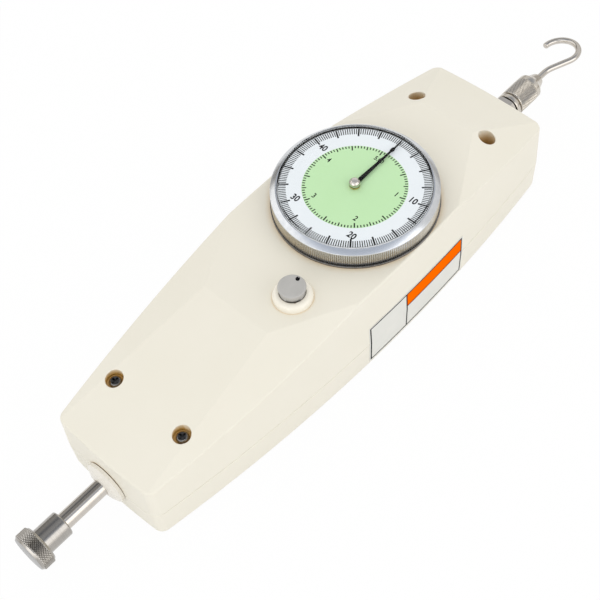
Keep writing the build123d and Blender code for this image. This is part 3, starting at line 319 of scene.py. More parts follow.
def metal(name, look):
    material, tree, shader = newMaterial(name)
    streak = noise(tree, look["streakScale"], 5.0, look["streak"])
    colour = blendColour(tree, blendRange(tree, streak, 0.0, 1.0), look["colour"], look["tone"])
    if look.get("groove"):
        # dirt and shade in the grooves
        bare = ranged(tree, shelter(tree, look["grooveReach"]), shading["grooveLow"], shading["grooveHigh"])
        colour = blendColour(tree, bare, look["groove"], colour)
    if look.get("face"):
        # painted shade: the flat end that looks along -X is darkened by its normal
        normal = put(tree, "ShaderNodeNewGeometry").outputs["Normal"]
        along = put(tree, "ShaderNodeSeparateXYZ", {"Vector": normal}).outputs["X"]
        colour = blendColour(tree, ranged(tree, along, shading["paintedShadeEndFrom"], shading["paintedShadeEndTo"]), colour,
                             look["face"])
    tree.links.new(colour, shader.inputs["Base Color"])
    shader.inputs["Metallic"].default_value = 1.0
    spread = look.get("roughSpread", 0.05)
    tree.links.new(blendRange(tree, streak, look["rough"] - spread, look["rough"] + spread),
                   shader.inputs["Roughness"])
    if look.get("brush"):
        bumped(tree, shader, streak, look["brush"], shading["brushDepth"])
    return material


even = (1.0, 1.0, 1.0)
acrossShaft = (60.0, 1.0, 1.0)
looks = {
    # the plastics' corner colours below are painted shade: amber, and dark brown deepest in, in corners and holes
    "case_ivory": plastic("caseIvory", {
        "colour": (0.80, 0.765, 0.665), "tone": (0.785, 0.75, 0.645), "cloudScale": 30.0, "grainScale": 2600.0,
        "grain": 0.12, "grainDepth": 0.00004, "rough": 0.46, "paintedShade": (0.66, 0.37, 0.05),
        "paintedDeepShade": (0.05, 0.018, 0.002), "paintedShadeReach": 0.006, "paintedShadeLow": 0.21, "paintedShadeHigh": 0.74,
        "paintedShadeFrom": 0.016}),
    "white_acetal": plastic("whiteAcetal", {
        "colour": (0.78, 0.745, 0.67), "tone": (0.80, 0.765, 0.69), "cloudScale": 60.0, "grainScale": 900.0,
        "grain": 0.01, "grainDepth": 0.00001, "rough": 0.3, "paintedShade": (0.45, 0.25, 0.08),
        "paintedDeepShade": (0.30, 0.14, 0.03), "paintedShadeReach": 0.001, "paintedShadeLow": 0.15, "paintedShadeHigh": 0.7}),
    "knob_ivory": plastic("collarIvory", {
        "colour": (0.865, 0.82, 0.715), "tone": (0.845, 0.80, 0.69), "cloudScale": 60.0, "grainScale": 600.0,
        "grain": 0.03, "grainDepth": 0.00002, "rough": 0.25, "coat": 0.5, "coatRough": 0.12,
        "paintedShade": (0.60, 0.36, 0.10), "paintedDeepShade": (0.35, 0.18, 0.04), "paintedShadeReach": 0.0016, "paintedShadeLow": 0.1,
        "paintedShadeHigh": 0.45}),
    "knob_grey": plastic("knobGrey", {
        "colour": (0.46, 0.45, 0.43), "tone": (0.41, 0.40, 0.38), "cloudScale": 160.0, "grainScale": 1800.0,
        "grain": 0.06, "grainDepth": 0.00002, "rough": 0.38}),
    "polished_steel": metal("polishedSteel", {
        "colour": (0.62, 0.58, 0.53), "tone": (0.54, 0.505, 0.46), "streakScale": 90.0, "streak": acrossShaft,
        "rough": 0.14, "roughSpread": 0.04, "brush": 0.05}),
    "turned_steel": metal("turnedSteel", {
        "colour": (0.66, 0.615, 0.55), "tone": (0.58, 0.54, 0.48), "streakScale": 90.0, "streak": acrossShaft,
        "rough": 0.2, "groove": (0.13, 0.11, 0.085), "grooveReach": 0.0005}),
    # pad steel: its face colour is painted shade on the flat end that looks along -X
    "pad_steel": metal("padSteel", {
        "colour": (0.44, 0.42, 0.39), "tone": (0.38, 0.36, 0.335), "streakScale": 90.0, "streak": acrossShaft,
        "rough": 0.2, "groove": (0.10, 0.09, 0.08), "grooveReach": 0.0005, "face": (0.165, 0.16, 0.152)}),
    "spring_steel": metal("springSteel", {
        "colour": (0.42, 0.43, 0.45), "tone": (0.34, 0.35, 0.37), "streakScale": 400.0, "streak": even,
        "rough": 0.3}),
    "brass": metal("turnedBrass", {
        "colour": (0.78, 0.57, 0.25), "tone": (0.68, 0.48, 0.20), "streakScale": 500.0, "streak": even,
        "rough": 0.28}),
    "bezel_aluminium": metal("bezelAluminium", {
        "colour": (0.70, 0.715, 0.735), "tone": (0.62, 0.64, 0.665), "streakScale": 500.0, "streak": even,
        "rough": 0.2, "roughSpread": 0.04, "groove": (0.16, 0.145, 0.12), "grooveReach": 0.0004}),
    "plain_aluminium": metal("milledAluminium", {
        "colour": (0.66, 0.67, 0.68), "tone": (0.58, 0.59, 0.60), "streakScale": 300.0, "streak": (1.0, 20.0, 1.0),
        "rough": 0.34}),
    "black_steel": metal("blackScrew", {
        "colour": (0.30, 0.29, 0.28), "tone": (0.20, 0.19, 0.18), "streakScale": 500.0, "streak": even,
        "rough": 0.16, "groove": (0.01, 0.01, 0.01), "grooveReach": 0.0006}),
    "dial_paper": plastic("dialWhite", {
        "colour": (0.84, 0.87, 0.90), "tone": (0.825, 0.855, 0.885), "cloudScale": 80.0, "grainScale": 1500.0,
        "grain": 0.02, "grainDepth": 0.00001, "rough": 0.5, "shine": 0.2}),
    "seal_rubber": plastic("sealBlack", {
        "colour": (0.012, 0.012, 0.014), "tone": (0.02, 0.02, 0.02), "cloudScale": 200.0, "grainScale": 1500.0,
        "grain": 0.1, "grainDepth": 0.00003, "rough": 0.5}),
    "pointer_black": plastic("pointerBlack", {
        "colour": (0.004, 0.004, 0.004), "tone": (0.007, 0.007, 0.007), "cloudScale": 200.0, "grainScale": 2500.0,
        "grain": 0.05, "grainDepth": 0.00001, "rough": 0.6, "shine": 0.12}),
}


acrylic = {"colour": (1.0, 1.0, 1.0, 1.0), "bend": 1.12, "hazeScale": 200.0, "haze": 0.004,
           "through": (0.97, 0.98, 0.98, 1.0)}


def clearAcrylic():
    # shadow and diffuse rays pass straight through, so the dial below is lit once and evenly
    material, tree, shader = newMaterial("clearAcrylic")
    shader.inputs["Base Color"].default_value = acrylic["colour"]
    shader.inputs["Transmission Weight"].default_value = 1.0
    shader.inputs["IOR"].default_value = acrylic["bend"]
    haze = noise(tree, acrylic["hazeScale"], 3.0)
    tree.links.new(blendRange(tree, haze, 0.0, acrylic["haze"]), shader.inputs["Roughness"])
    ray = put(tree, "ShaderNodeLightPath")
    through = put(tree, "ShaderNodeBsdfTransparent", {"Color": acrylic["through"]})
    soft = put(tree, "ShaderNodeMath", {0: ray.outputs["Is Shadow Ray"], 1: ray.outputs["Is Diffuse Ray"]},
               operation="MAXIMUM")
    chosen = put(tree, "ShaderNodeMixShader", {"Fac": soft.outputs[0]})
    tree.links.new(shader.outputs[0], chosen.inputs[1])
    tree.links.new(through.outputs[0], chosen.inputs[2])
    tree.links.new(chosen.outputs[0], tree.nodes["Material Output"].inputs["Surface"])
    return material


looks["clear_acrylic"] = clearAcrylic()
inkBlack = plastic("inkBlack", {
    "colour": (0.004, 0.004, 0.005), "tone": (0.007, 0.007, 0.008), "cloudScale": 300.0, "grainScale": 2500.0,
    "grain": 0.04, "grainDepth": 0.00001, "rough": 0.6, "shine": 0.1})
dialGreen = plastic("dialGreen", {
    "colour": (0.54, 0.79, 0.45), "tone": (0.555, 0.80, 0.47), "cloudScale": 60.0, "grainScale": 1500.0,
    "grain": 0.02, "grainDepth": 0.00001, "rough": 0.55, "shine": 0.15})
bandAluminium = metal("bandAluminium", {
    "colour": (0.66, 0.62, 0.54), "tone": (0.58, 0.545, 0.47), "streakScale": 500.0, "streak": even,
    "rough": 0.26, "groove": (0.12, 0.10, 0.075), "grooveReach": 0.0003})
labelWhite = plastic("labelWhite", {
    "colour": (0.73, 0.725, 0.68), "tone": (0.70, 0.70, 0.655), "cloudScale": 120.0, "grainScale": 900.0,
    "grain": 0.01, "grainDepth": 0.00001, "rough": 0.4, "shine": 0.3})
labelOrange = plastic("labelOrange", {
    "colour": (0.98, 0.15, 0.0), "tone": (0.95, 0.135, 0.0), "cloudScale": 120.0, "grainScale": 900.0,
    "grain": 0.03, "grainDepth": 0.00001, "rough": 0.5, "shine": 0.0})

for name, obj in cadNodes.items():
    obj.data.materials.clear()
    obj.data.materials.append(looks[slotOf[name]])
# painted shade: the seat is made black so that its edge under the ring shows as a dark gap
cadNodes["bezel_seat"].data.materials[0] = looks["black_steel"]
print("stage: materials")


# case shells and plain turned pieces: the solid's own surface, joined up and smooth between its creases
copies = {
    "joinGap": 2e-6,
    "pieces": (
        ("caseLid", "top_case", "case", 24.0), ("caseBack", "bottom_case", "case", 24.0),
        ("hookWire", "hook", "hook", 40.0), ("collarDome", "knob_collar", "case", 30.0),
        ("knobCap", "mode_knob", "knob", 30.0), ("pushBush", "push_bushing", "case", 30.0),
        ("hookBush", "hook_bushing", "case", 30.0), ("shaftRod", "measuring_shaft", "shaft", 30.0),
        ("lidScrews", "case_screws", "case", 30.0)),
}


def smoothCopy(name, node, body, angle):
    mesh = tidyNormals(cadNodes[node].data.copy(), copies["joinGap"])
    mesh = weighed(smooth(flattened(mesh), angle), name)
    piece = addPiece(name, mesh, body, looks[slotOf[node]])
    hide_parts(node)


for pieceName, nodeName, bodyName, sharp in copies["pieces"]:
    smoothCopy(pieceName, nodeName, bodyName, sharp)
print("stage: case and smooth copies")


# bezel: turned ring with a serrated band
bezel = {
    "bore": 25.9, "top": 26.5, "root": 28.68, "outer": 29.0, "low": 42.5, "high": 49.6, "edge": 48.35,
    "lip": 27.1, "ledge": 48.1, "boreRound": 0.1, "rootRound": 0.08, "rimStep": 0.15, "rimRound": 0.05,
    "edgeRound": 0.18, "lipRound": 0.15, "segments": 240,
    "bandLow": 42.56, "bandHigh": 47.75, "ribs": 250, "ribRadius": 28.58, "rib": 0.42,
}
bezelPath = rounded([
    (bezel["bore"], bezel["low"], bezel["boreRound"]), (bezel["root"], bezel["low"], bezel["rootRound"]),
    (bezel["root"], bezel["bandHigh"], 0.0),
    (bezel["outer"], bezel["bandHigh"] + bezel["rimStep"], bezel["rimRound"]),
    (bezel["outer"], bezel["edge"], bezel["edgeRound"]), (bezel["lip"], bezel["high"], bezel["lipRound"]),
    (bezel["top"], bezel["high"], bezel["boreRound"]), (bezel["top"], bezel["ledge"], 0.0),
    (bezel["bore"], bezel["ledge"], 0.0),
])
bezelRing = addPiece("bezelRing", turned("bezelRing", bezelPath, bezel["segments"]), "bezel",
                     looks["bezel_aluminium"])
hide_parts("bezel")

ribTree = NodeSketch("serration", {"Count": 300, "Radius": 28.6 * mm, "Rib": 0.35 * mm, "Height": 4.6 * mm,
                                   "Middle": 45.4 * mm})
rib = ribTree.add("GeometryNodeMeshCylinder", {"Vertices": 3, "Radius": ribTree.size("Rib"),
                                               "Depth": ribTree.size("Height")})
ribOut = ribTree.add("GeometryNodeTransform", {
    "Geometry": rib.outputs["Mesh"],
    "Translation": ribTree.vector(x=ribTree.size("Radius"), z=ribTree.size("Middle"))})
ribLine = ribTree.add("GeometryNodeMeshLine", {"Count": ribTree.size("Count"), "Offset": (0.0, 0.0, 0.0)})
ribIndex = ribTree.add("GeometryNodeInputIndex").outputs[0]
ribTurn = ribTree.math("MULTIPLY", ribIndex, ribTree.math("DIVIDE", math.tau, ribTree.size("Count")))
ribSpread = ribTree.add("GeometryNodeInstanceOnPoints", {
    "Points": ribLine.outputs[0], "Instance": ribOut.outputs[0], "Rotation": ribTree.vector(z=ribTurn)})
ribTree.finish(ribSpread.outputs[0])
grow("bezelSerration", ribTree, {
    "Count": bezel["ribs"], "Radius": bezel["ribRadius"] * mm, "Rib": bezel["rib"] * mm,
    "Height": (bezel["bandHigh"] - bezel["bandLow"]) * mm,
    "Middle": (bezel["bandHigh"] + bezel["bandLow"]) / 2 * mm}, "bezel", bandAluminium)

# painted shadow: a black ring under the bezel stands in for the dark shaded gap below the ring
shadowRing = {"bore": 25.6, "outer": 29.35, "low": 41.68, "top": 42.35, "round": 0.12, "segments": 160}
shadowRingPath = rounded([
    (shadowRing["bore"], shadowRing["low"], 0.0), (shadowRing["outer"], shadowRing["low"], 0.0),
    (shadowRing["outer"], shadowRing["top"], shadowRing["round"]), (shadowRing["bore"], shadowRing["top"], 0.0)])
addPiece("paintedShadowRing", turned("paintedShadowRing", shadowRingPath, shadowRing["segments"]), "case",
         looks["black_steel"])
print("stage: bezel")


# crystal: a domed disc with a short rim
crystal = {"rim": 26.4, "rimHeight": 50.9, "apex": 54.0, "wall": 0.5, "foot": 49.25, "chamfer": 0.15,
           "steps": 24, "segments": 160}
rise = crystal["apex"] - crystal["rimHeight"]
dome = (crystal["rim"] ** 2 + rise ** 2) / (2 * rise)
domeCentre = crystal["apex"] - dome


def domeArc(radius, reach, steps):
    reachAngle = math.asin(reach / radius)
    return [(radius * math.sin(reachAngle * s / steps), domeCentre + radius * math.cos(reachAngle * s / steps))
            for s in range(steps + 1)]


outside = domeArc(dome, crystal["rim"] - crystal["chamfer"], crystal["steps"])
inside = domeArc(dome - crystal["wall"], crystal["rim"] - crystal["wall"], crystal["steps"])
crystalPath = outside + [
    (crystal["rim"], crystal["rimHeight"] - crystal["chamfer"]), (crystal["rim"], crystal["foot"]),
    (crystal["rim"] - crystal["wall"], crystal["foot"])] + inside[::-1]
crystalDome = addPiece("crystalDome", turned("crystalDome", crystalPath, crystal["segments"], closed=False),
                       "bezel", looks["clear_acrylic"])
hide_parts("crystal")

sealRing = {"outer": 26.4, "inner": 26.12, "low": 48.9, "top": 49.25, "segments": 160}
sealPath = [(sealRing["inner"], sealRing["low"]), (sealRing["outer"], sealRing["low"]),
            (sealRing["outer"], sealRing["top"]), (sealRing["inner"], sealRing["top"])]
crystalSeal = addPiece("crystalSeal", turned("crystalSeal", sealPath, sealRing["segments"]), "bezel",
                       looks["seal_rubber"])
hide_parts("crystal_seal")
print("stage: crystal and seal")


# dial: printed disc, ticks and plain numbers; a force scale outside and a mass scale inside
dial = {
    "top": 48.9, "turn": 1.7, "hole": 1.45, "greenRadius": 18.1, "film": 0.03, "ink": 0.02, "segments": 160,
    "newtonTurn": 7.2, "newtonTicks": 4, "kilogramTurn": 70.608, "kilogramTicks": 20,
}
greenLow = dial["top"]
greenTop = dial["top"] + dial["film"]
greenPath = [(dial["hole"], greenLow), (dial["greenRadius"], greenLow), (dial["greenRadius"], greenTop),
             (dial["hole"], greenTop)]
addPiece("dialGreenDisc", turned("dialGreenDisc", greenPath, dial["segments"]), "bezel", dialGreen)

tickTree = NodeSketch("ticks", {"Count": 200, "Skip": 10, "Keep": 0, "Radius": 25.7 * mm, "Length": 2.4 * mm,
                                "Width": 0.2 * mm, "Thickness": 0.02 * mm, "Height": 48.9 * mm,
                                "Start": 0.0, "Step": 0.0314})
tick = tickTree.add("GeometryNodeMeshCube", {"Size": tickTree.vector(
    tickTree.size("Length"), tickTree.size("Width"), tickTree.size("Thickness"))})
tickHalf = tickTree.math("MULTIPLY", tickTree.size("Length"), 0.5)
tickMiddle = tickTree.math("SUBTRACT", tickTree.size("Radius"), tickHalf)
tickRise = tickTree.math("MULTIPLY", tickTree.size("Thickness"), 0.5)
tickLift = tickTree.math("ADD", tickTree.size("Height"), tickRise)
tickOut = tickTree.add("GeometryNodeTransform", {"Geometry": tick.outputs["Mesh"],
                                                 "Translation": tickTree.vector(x=tickMiddle, z=tickLift)})
tickLine = tickTree.add("GeometryNodeMeshLine", {"Count": tickTree.size("Count"), "Offset": (0.0, 0.0, 0.0)})
tickIndex = tickTree.add("GeometryNodeInputIndex").outputs[0]
tickAngle = tickTree.math("MULTIPLY", tickIndex, tickTree.size("Step"))
tickTurn = tickTree.math("ADD", tickTree.size("Start"), tickAngle)
tickRest = tickTree.math("MODULO", tickIndex, tickTree.size("Skip"))
tickMinor = tickTree.math("GREATER_THAN", tickRest, tickTree.math("SUBTRACT", 0.5, tickTree.size("Keep")))
tickSpread = tickTree.add("GeometryNodeInstanceOnPoints", {
    "Points": tickLine.outputs[0], "Instance": tickOut.outputs[0], "Selection": tickMinor,
    "Rotation": tickTree.vector(z=tickTurn)})
tickTree.finish(tickSpread.outputs[0])

dialStart = math.radians(dial["turn"])
forceStep = -math.radians(dial["newtonTurn"]) / dial["newtonTicks"]
massStep = -math.radians(dial["kilogramTurn"]) / dial["kilogramTicks"]
# a tick whose number divides by Skip is left out, unless Keep is 1
tickRings = {
    "forceFine": {"Count": 200, "Skip": 10, "Radius": 25.95, "Length": 2.5, "Width": 0.31, "Step": forceStep},
    "forceLong": {"Count": 20, "Skip": 1, "Keep": 1, "Radius": 25.95, "Length": 3.4, "Width": 0.60,
                  "Step": forceStep * 10},
    "massFine": {"Count": 102, "Skip": 5, "Radius": 17.95, "Length": 1.0, "Width": 0.38, "Step": massStep},
    "massMiddle": {"Count": 21, "Skip": 2, "Radius": 17.95, "Length": 1.5, "Width": 0.40,
                   "Step": massStep * 5},
    "massLong": {"Count": 11, "Skip": 1, "Keep": 1, "Radius": 17.95, "Length": 2.0, "Width": 0.45,
                 "Step": massStep * 10},
}
for ringName, ring in tickRings.items():
    onGreen = ringName.startswith("mass")
    grow("ticks_" + ringName, tickTree, {
        "Count": ring["Count"], "Skip": ring["Skip"], "Keep": ring.get("Keep", 0), "Radius": ring["Radius"] * mm,
        "Length": ring["Length"] * mm, "Width": ring["Width"] * mm, "Thickness": dial["ink"] * mm,
        "Height": (greenTop if onGreen else dial["top"]) * mm, "Start": dialStart, "Step": ring["Step"]},
        "bezel", inkBlack)

# number, place on the dial and height
numerals = [
    ("0", 20.4, 0.6, 3.5), ("10", 7.5, -19.2, 3.5), ("20", -16.7, -13.1, 3.5), ("30", -16.7, 12.1, 3.5),
    ("40", 6.0, 19.8, 3.5), ("5.00", 14.0, 1.2, 2.5), ("1", 6.0, -13.2, 2.9), ("2", -10.5, -9.4, 2.9),
    ("3", -12.0, 7.8, 2.9), ("4", 3.0, 14.4, 2.9),
]
lettering = {"largeFrom": 3.0, "largeWeight": 0.09, "smallWeight": 0.05, "spacing": 1.02, "narrow": 0.86}
numeralMesh = bmesh.new()
for words, x, y, size in numerals:
    onGreen = math.hypot(x, y) < dial["greenRadius"]
    curve = bpy.data.curves.new("numeral", "FONT")
    curve.body = words
    curve.size = size * mm
    curve.align_x = "CENTER"
    curve.align_y = "CENTER"
    curve.extrude = dial["ink"] / 2 * mm
    curve.offset = lettering["largeWeight" if size > lettering["largeFrom"] else "smallWeight"] * mm
    curve.space_character = lettering["spacing"]
    sample = link(bpy.data.objects.new("numeral", curve))
    flat = bpy.data.meshes.new_from_object(sample.evaluated_get(bpy.context.evaluated_depsgraph_get()))
    lift = (greenTop if onGreen else dial["top"]) + dial["ink"] / 2
    upright = Matrix.Rotation(math.radians(dial["turn"] - 90), 4, "Z")
    place = Matrix.Translation((x * mm, y * mm, lift * mm)) @ upright
    flat.transform(place @ Matrix.Diagonal((lettering["narrow"], 1.0, 1.0, 1.0)))
    numeralMesh.from_mesh(flat)
    bpy.data.objects.remove(sample)
printed = bpy.data.meshes.new("dialNumerals")
numeralMesh.to_mesh(printed)
numeralMesh.free()
addPiece("dialNumerals", printed, "bezel", inkBlack)
print("stage: dial")


# hub: steel cap on a brass boss
hub = {
    "bossRadius": 1.88, "bossLow": 49.1, "bossTop": 49.75, "bossRound": 0.15,
    "capRadius": 1.9, "capLow": 50.05, "capSide": 51.2, "sideRound": 0.5, "crownRadius": 1.2,
    "crownEdge": 52.0, "crownRound": 0.8, "capTop": 52.1, "steps": 8, "segments": 64,
}
bossPath = rounded([
    (0.0, hub["bossLow"], 0.0), (hub["bossRadius"], hub["bossLow"], hub["bossRound"]),
    (hub["bossRadius"], hub["bossTop"], 0.0), (0.0, hub["bossTop"], 0.0)])
hubBoss = addPiece("hubBoss", turned("hubBoss", bossPath, hub["segments"]), "pointer",
                   looks["brass"])
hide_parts("pointer_boss")

hubPath = rounded([
    (0.0, hub["capLow"], 0.0), (hub["capRadius"], hub["capLow"], 0.0),
    (hub["capRadius"], hub["capSide"], hub["sideRound"]),
    (hub["crownRadius"], hub["crownEdge"], hub["crownRound"]), (0.0, hub["capTop"], 0.0)], hub["steps"])
hubCap = addPiece("hubCap", turned("hubCap", hubPath, hub["segments"]), "pointer",
                  looks["polished_steel"])
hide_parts("pointer_hub")
print("stage: hub")


# knurling: small blunt pyramids in rows, each row shifted by half a pitch
shaftZ = 14.3
knurl = {"tip": 0.08, "foot": 0.98}
knurlTree = NodeSketch("knurl", {"Columns": 58, "Rows": 10, "Radius": 6.9 * mm, "Pitch": 0.75 * mm,
                                 "Start": 0.0, "Relief": 0.2 * mm, "Middle": shaftZ * mm})
halfPitch = knurlTree.math("MULTIPLY", knurlTree.size("Pitch"), 0.5)
stud = knurlTree.add("GeometryNodeMeshCone", {
    "Vertices": 4, "Side Segments": 1,
    "Radius Top": knurlTree.math("MULTIPLY", knurlTree.size("Pitch"), knurl["tip"]),
    "Radius Bottom": knurlTree.math("MULTIPLY", halfPitch, knurl["foot"]), "Depth": knurlTree.size("Relief")})
studOut = knurlTree.add("GeometryNodeTransform", {"Geometry": stud.outputs["Mesh"],
                                                  "Translation": knurlTree.vector(z=knurlTree.size("Radius"))})
knurlCount = knurlTree.math("MULTIPLY", knurlTree.size("Columns"), knurlTree.size("Rows"))
knurlLine = knurlTree.add("GeometryNodeMeshLine", {"Count": knurlCount, "Offset": (0.0, 0.0, 0.0)})
knurlIndex = knurlTree.add("GeometryNodeInputIndex").outputs[0]
knurlRow = knurlTree.math("FLOOR", knurlTree.math("DIVIDE", knurlIndex, knurlTree.size("Columns")))
knurlBefore = knurlTree.math("MULTIPLY", knurlRow, knurlTree.size("Columns"))
knurlColumn = knurlTree.math("SUBTRACT", knurlIndex, knurlBefore)
knurlShift = knurlTree.math("MULTIPLY", knurlTree.math("MODULO", knurlRow, 2.0), 0.5)
knurlTurn = knurlTree.math("MULTIPLY", knurlTree.math("ADD", knurlColumn, knurlShift),
                           knurlTree.math("DIVIDE", math.tau, knurlTree.size("Columns")))
knurlX = knurlTree.math("ADD", knurlTree.size("Start"), knurlTree.math("MULTIPLY", knurlRow, halfPitch))
knurlPoints = knurlTree.add("GeometryNodeSetPosition", {
    "Geometry": knurlLine.outputs[0], "Position": knurlTree.vector(x=knurlX, z=knurlTree.size("Middle"))})
knurlSpread = knurlTree.add("GeometryNodeInstanceOnPoints", {
    "Points": knurlPoints.outputs[0], "Instance": studOut.outputs[0], "Rotation": knurlTree.vector(x=knurlTurn)})
knurlTree.finish(knurlSpread.outputs[0])

pad = {
    "sleeve": 4.6, "sleeveEnd": -141.7, "pad": 7.0, "back": -150.8, "face": -156.2, "bore": 3.05,
    "boreEnd": -152.8, "bevel": 0.7, "bevelLength": 0.75, "bandDepth": 0.18, "rimRound": 0.12,
    "cornerRound": 0.15, "sleeveRound": 0.6, "boreRound": 0.1, "segments": 120,
    "columns": 52, "knurlDepth": 0.13, "relief": 0.26,
}
padBandRadius = pad["pad"] - pad["bandDepth"]
padRim = pad["pad"] - pad["bevel"]
padPath = rounded([
    (0.0, pad["face"], 0.0), (padRim, pad["face"], pad["rimRound"]),
    (padBandRadius, pad["face"] + pad["bevelLength"], 0.0), (padBandRadius, pad["back"] - pad["bevelLength"], 0.0),
    (padRim, pad["back"], pad["rimRound"]), (pad["sleeve"], pad["back"], pad["cornerRound"]),
    (pad["sleeve"], pad["sleeveEnd"], pad["sleeveRound"]), (pad["bore"], pad["sleeveEnd"], pad["boreRound"]),
    (pad["bore"], pad["boreEnd"], 0.0), (0.0, pad["boreEnd"], 0.0)])
pushDisc = addPiece("pushDisc", turned("pushDisc", padPath, pad["segments"], "x", (0, 0, shaftZ)), "shaft",
                    looks["pad_steel"])
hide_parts("push_pad")
padPitch = math.tau * padBandRadius / pad["columns"]
padBand = pad["back"] - pad["face"] - 2 * pad["bevelLength"]
grow("pushDiscKnurl", knurlTree, {
    "Columns": pad["columns"], "Rows": int(padBand / padPitch * 2),
    "Radius": (pad["pad"] - pad["knurlDepth"]) * mm, "Pitch": padPitch * mm,
    "Start": (pad["face"] + pad["bevelLength"] + padPitch / 2) * mm, "Relief": pad["relief"] * mm,
    "Middle": shaftZ * mm}, "shaft", looks["pad_steel"])

holder = {
    "back": 89.7, "outer": 5.2, "backRound": 0.2, "collarEnd": 91.5, "collarRound": 0.1, "neckDepth": 0.8,
    "neckEnd": 92.4, "bandDepth": 0.14, "bandEnd": 102.2, "rimStart": 102.3, "rimRound": 0.05,
    "shoulder": 104.2, "cone": 106.2, "coneRadius": 3.7, "nose": 109.3, "noseRadius": 2.5, "noseRound": 0.15,
    "bore": 3.06, "boreCone": 1.0, "wire": 1.31, "root": 103.0, "segments": 96,
    "columns": 40, "knurlLow": 92.6, "knurlHigh": 102.1, "knurlDepth": 0.1, "relief": 0.24,
}
neckRadius = holder["outer"] - holder["neckDepth"]
holderBandRadius = holder["outer"] - holder["bandDepth"]
holderPath = rounded([
    (holder["bore"], holder["back"], 0.0), (holder["outer"], holder["back"], holder["backRound"]),
    (holder["outer"], holder["collarEnd"], holder["collarRound"]), (neckRadius, holder["collarEnd"], 0.0),
    (neckRadius, holder["neckEnd"], 0.0), (holderBandRadius, holder["neckEnd"], holder["collarRound"]),
    (holderBandRadius, holder["bandEnd"], 0.0), (holder["outer"], holder["rimStart"], holder["rimRound"]),
    (holder["outer"], holder["shoulder"], holder["noseRound"]),
    (holder["coneRadius"], holder["cone"], holder["noseRound"]),
    (holder["noseRadius"], holder["nose"], holder["noseRound"]), (holder["wire"], holder["nose"], 0.0),
    (holder["wire"], holder["root"], 0.0), (holder["bore"], holder["root"] - holder["boreCone"], 0.0)])
hookHolder = addPiece("hookHolder", turned("hookHolder", holderPath, holder["segments"], "x", (0, 0, shaftZ)),
                      "hook", looks["turned_steel"])
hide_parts("hook_holder")
holderPitch = math.tau * holderBandRadius / holder["columns"]
grow("holderKnurl", knurlTree, {
    "Columns": holder["columns"], "Rows": int((holder["knurlHigh"] - holder["knurlLow"]) / holderPitch * 2),
    "Radius": (holder["outer"] - holder["knurlDepth"]) * mm, "Pitch": holderPitch * mm,
    "Start": (holder["knurlLow"] + holderPitch / 2) * mm, "Relief": holder["relief"] * mm,
    "Middle": shaftZ * mm}, "hook", looks["turned_steel"])
print("stage: knurled pieces")


# dot on the mode knob, a thin plate that follows the knob's dish
knobDot = {"x": -40.35, "y": -10.65, "radius": 0.75, "knobX": -43.7, "knobY": -11.1, "top": 47.9, "dish": 0.5,
           "dishRadius": 4.0, "sides": 32, "lifts": (-0.05, 0.02)}
dishCurve = (knobDot["dishRadius"] ** 2 + knobDot["dish"] ** 2) / (2 * knobDot["dish"])


def dishHeight(x, y):
    away = math.hypot(x - knobDot["knobX"], y - knobDot["knobY"])
    inDish = knobDot["top"] - knobDot["dish"] + dishCurve - math.sqrt(dishCurve ** 2 - away ** 2)
    return min(knobDot["top"], inDish)


dotSides = knobDot["sides"]
dotRim = [(knobDot["x"] + knobDot["radius"] * math.cos(math.tau * i / dotSides),
           knobDot["y"] + knobDot["radius"] * math.sin(math.tau * i / dotSides)) for i in range(dotSides)]
dotMiddle = [(knobDot["x"], knobDot["y"])]
dotPoints = [(x * mm, y * mm, (dishHeight(x, y) + lift) * mm)
             for places in (dotRim, dotMiddle) for lift in knobDot["lifts"] for x, y in places]
dotFaces = []
for i in range(dotSides):
    j = (i + 1) % dotSides
    dotFaces += [(j, i, 2 * dotSides), (dotSides + i, dotSides + j, 2 * dotSides + 1),
                 (i, j, dotSides + j, dotSides + i)]
addPiece("knobDot", tidyNormals(meshFrom("knobDot", dotPoints, dotFaces)), "knob", inkBlack)


# bare label on the side wall: a sheet, an orange band and black rules, all of which follow the wall's bow
label = {
    "xLow": -28.6, "xHigh": 23.0, "zLow": 3.2, "zHigh": 23.4, "split": -9.2, "bandLow": 16.2, "rule": 0.6,
    "margin": 0.55, "gap": 0.01, "lift": 0.05, "ink": 0.02, "columns": 40,
    "halfWidth": 30.8, "widest": -10.8, "bow": 690.0, "seam": 14.3, "lidDraft": 1.7, "backDraft": 1.5,
}


def wallPoint(x, z, lift):
    bow = label["bow"]
    reach = label["halfWidth"] - bow + math.sqrt(bow ** 2 - (x - label["widest"]) ** 2)
    draft = label["lidDraft"] if z > label["seam"] else label["backDraft"]
    inward = abs(z - label["seam"]) * math.tan(math.radians(draft))
    return (x * mm, -(reach - inward + lift) * mm, z * mm)


def wallPatch(work, x0, x1, z0, z1, low, high):
    # a thin closed sheet that follows the wall
    columns = max(1, int((x1 - x0) / (label["xHigh"] - label["xLow"]) * label["columns"]))
    rows = [z0] + [z for z in (label["seam"],) if z0 < z < z1] + [z1]
    grids = []
    for lift in (low, high):
        grids.append([[work.verts.new(wallPoint(x0 + (x1 - x0) * c / columns, z, lift))
                       for c in range(columns + 1)] for z in rows])
    last = len(rows) - 1
    for r in range(last):
        for c in range(columns):
            for grid, flip in ((grids[0], True), (grids[1], False)):
                quad = [grid[r][c], grid[r][c + 1], grid[r + 1][c + 1], grid[r + 1][c]]
                work.faces.new(quad[::-1] if flip else quad)
    for c in range(columns):
        for r, flip in ((0, False), (last, True)):
            quad = [grids[0][r][c], grids[0][r][c + 1], grids[1][r][c + 1], grids[1][r][c]]
            work.faces.new(quad[::-1] if flip else quad)
    for r in range(last):
        for c, flip in ((0, True), (columns, False)):
            quad = [grids[0][r][c], grids[0][r + 1][c], grids[1][r + 1][c], grids[1][r][c]]
            work.faces.new(quad[::-1] if flip else quad)


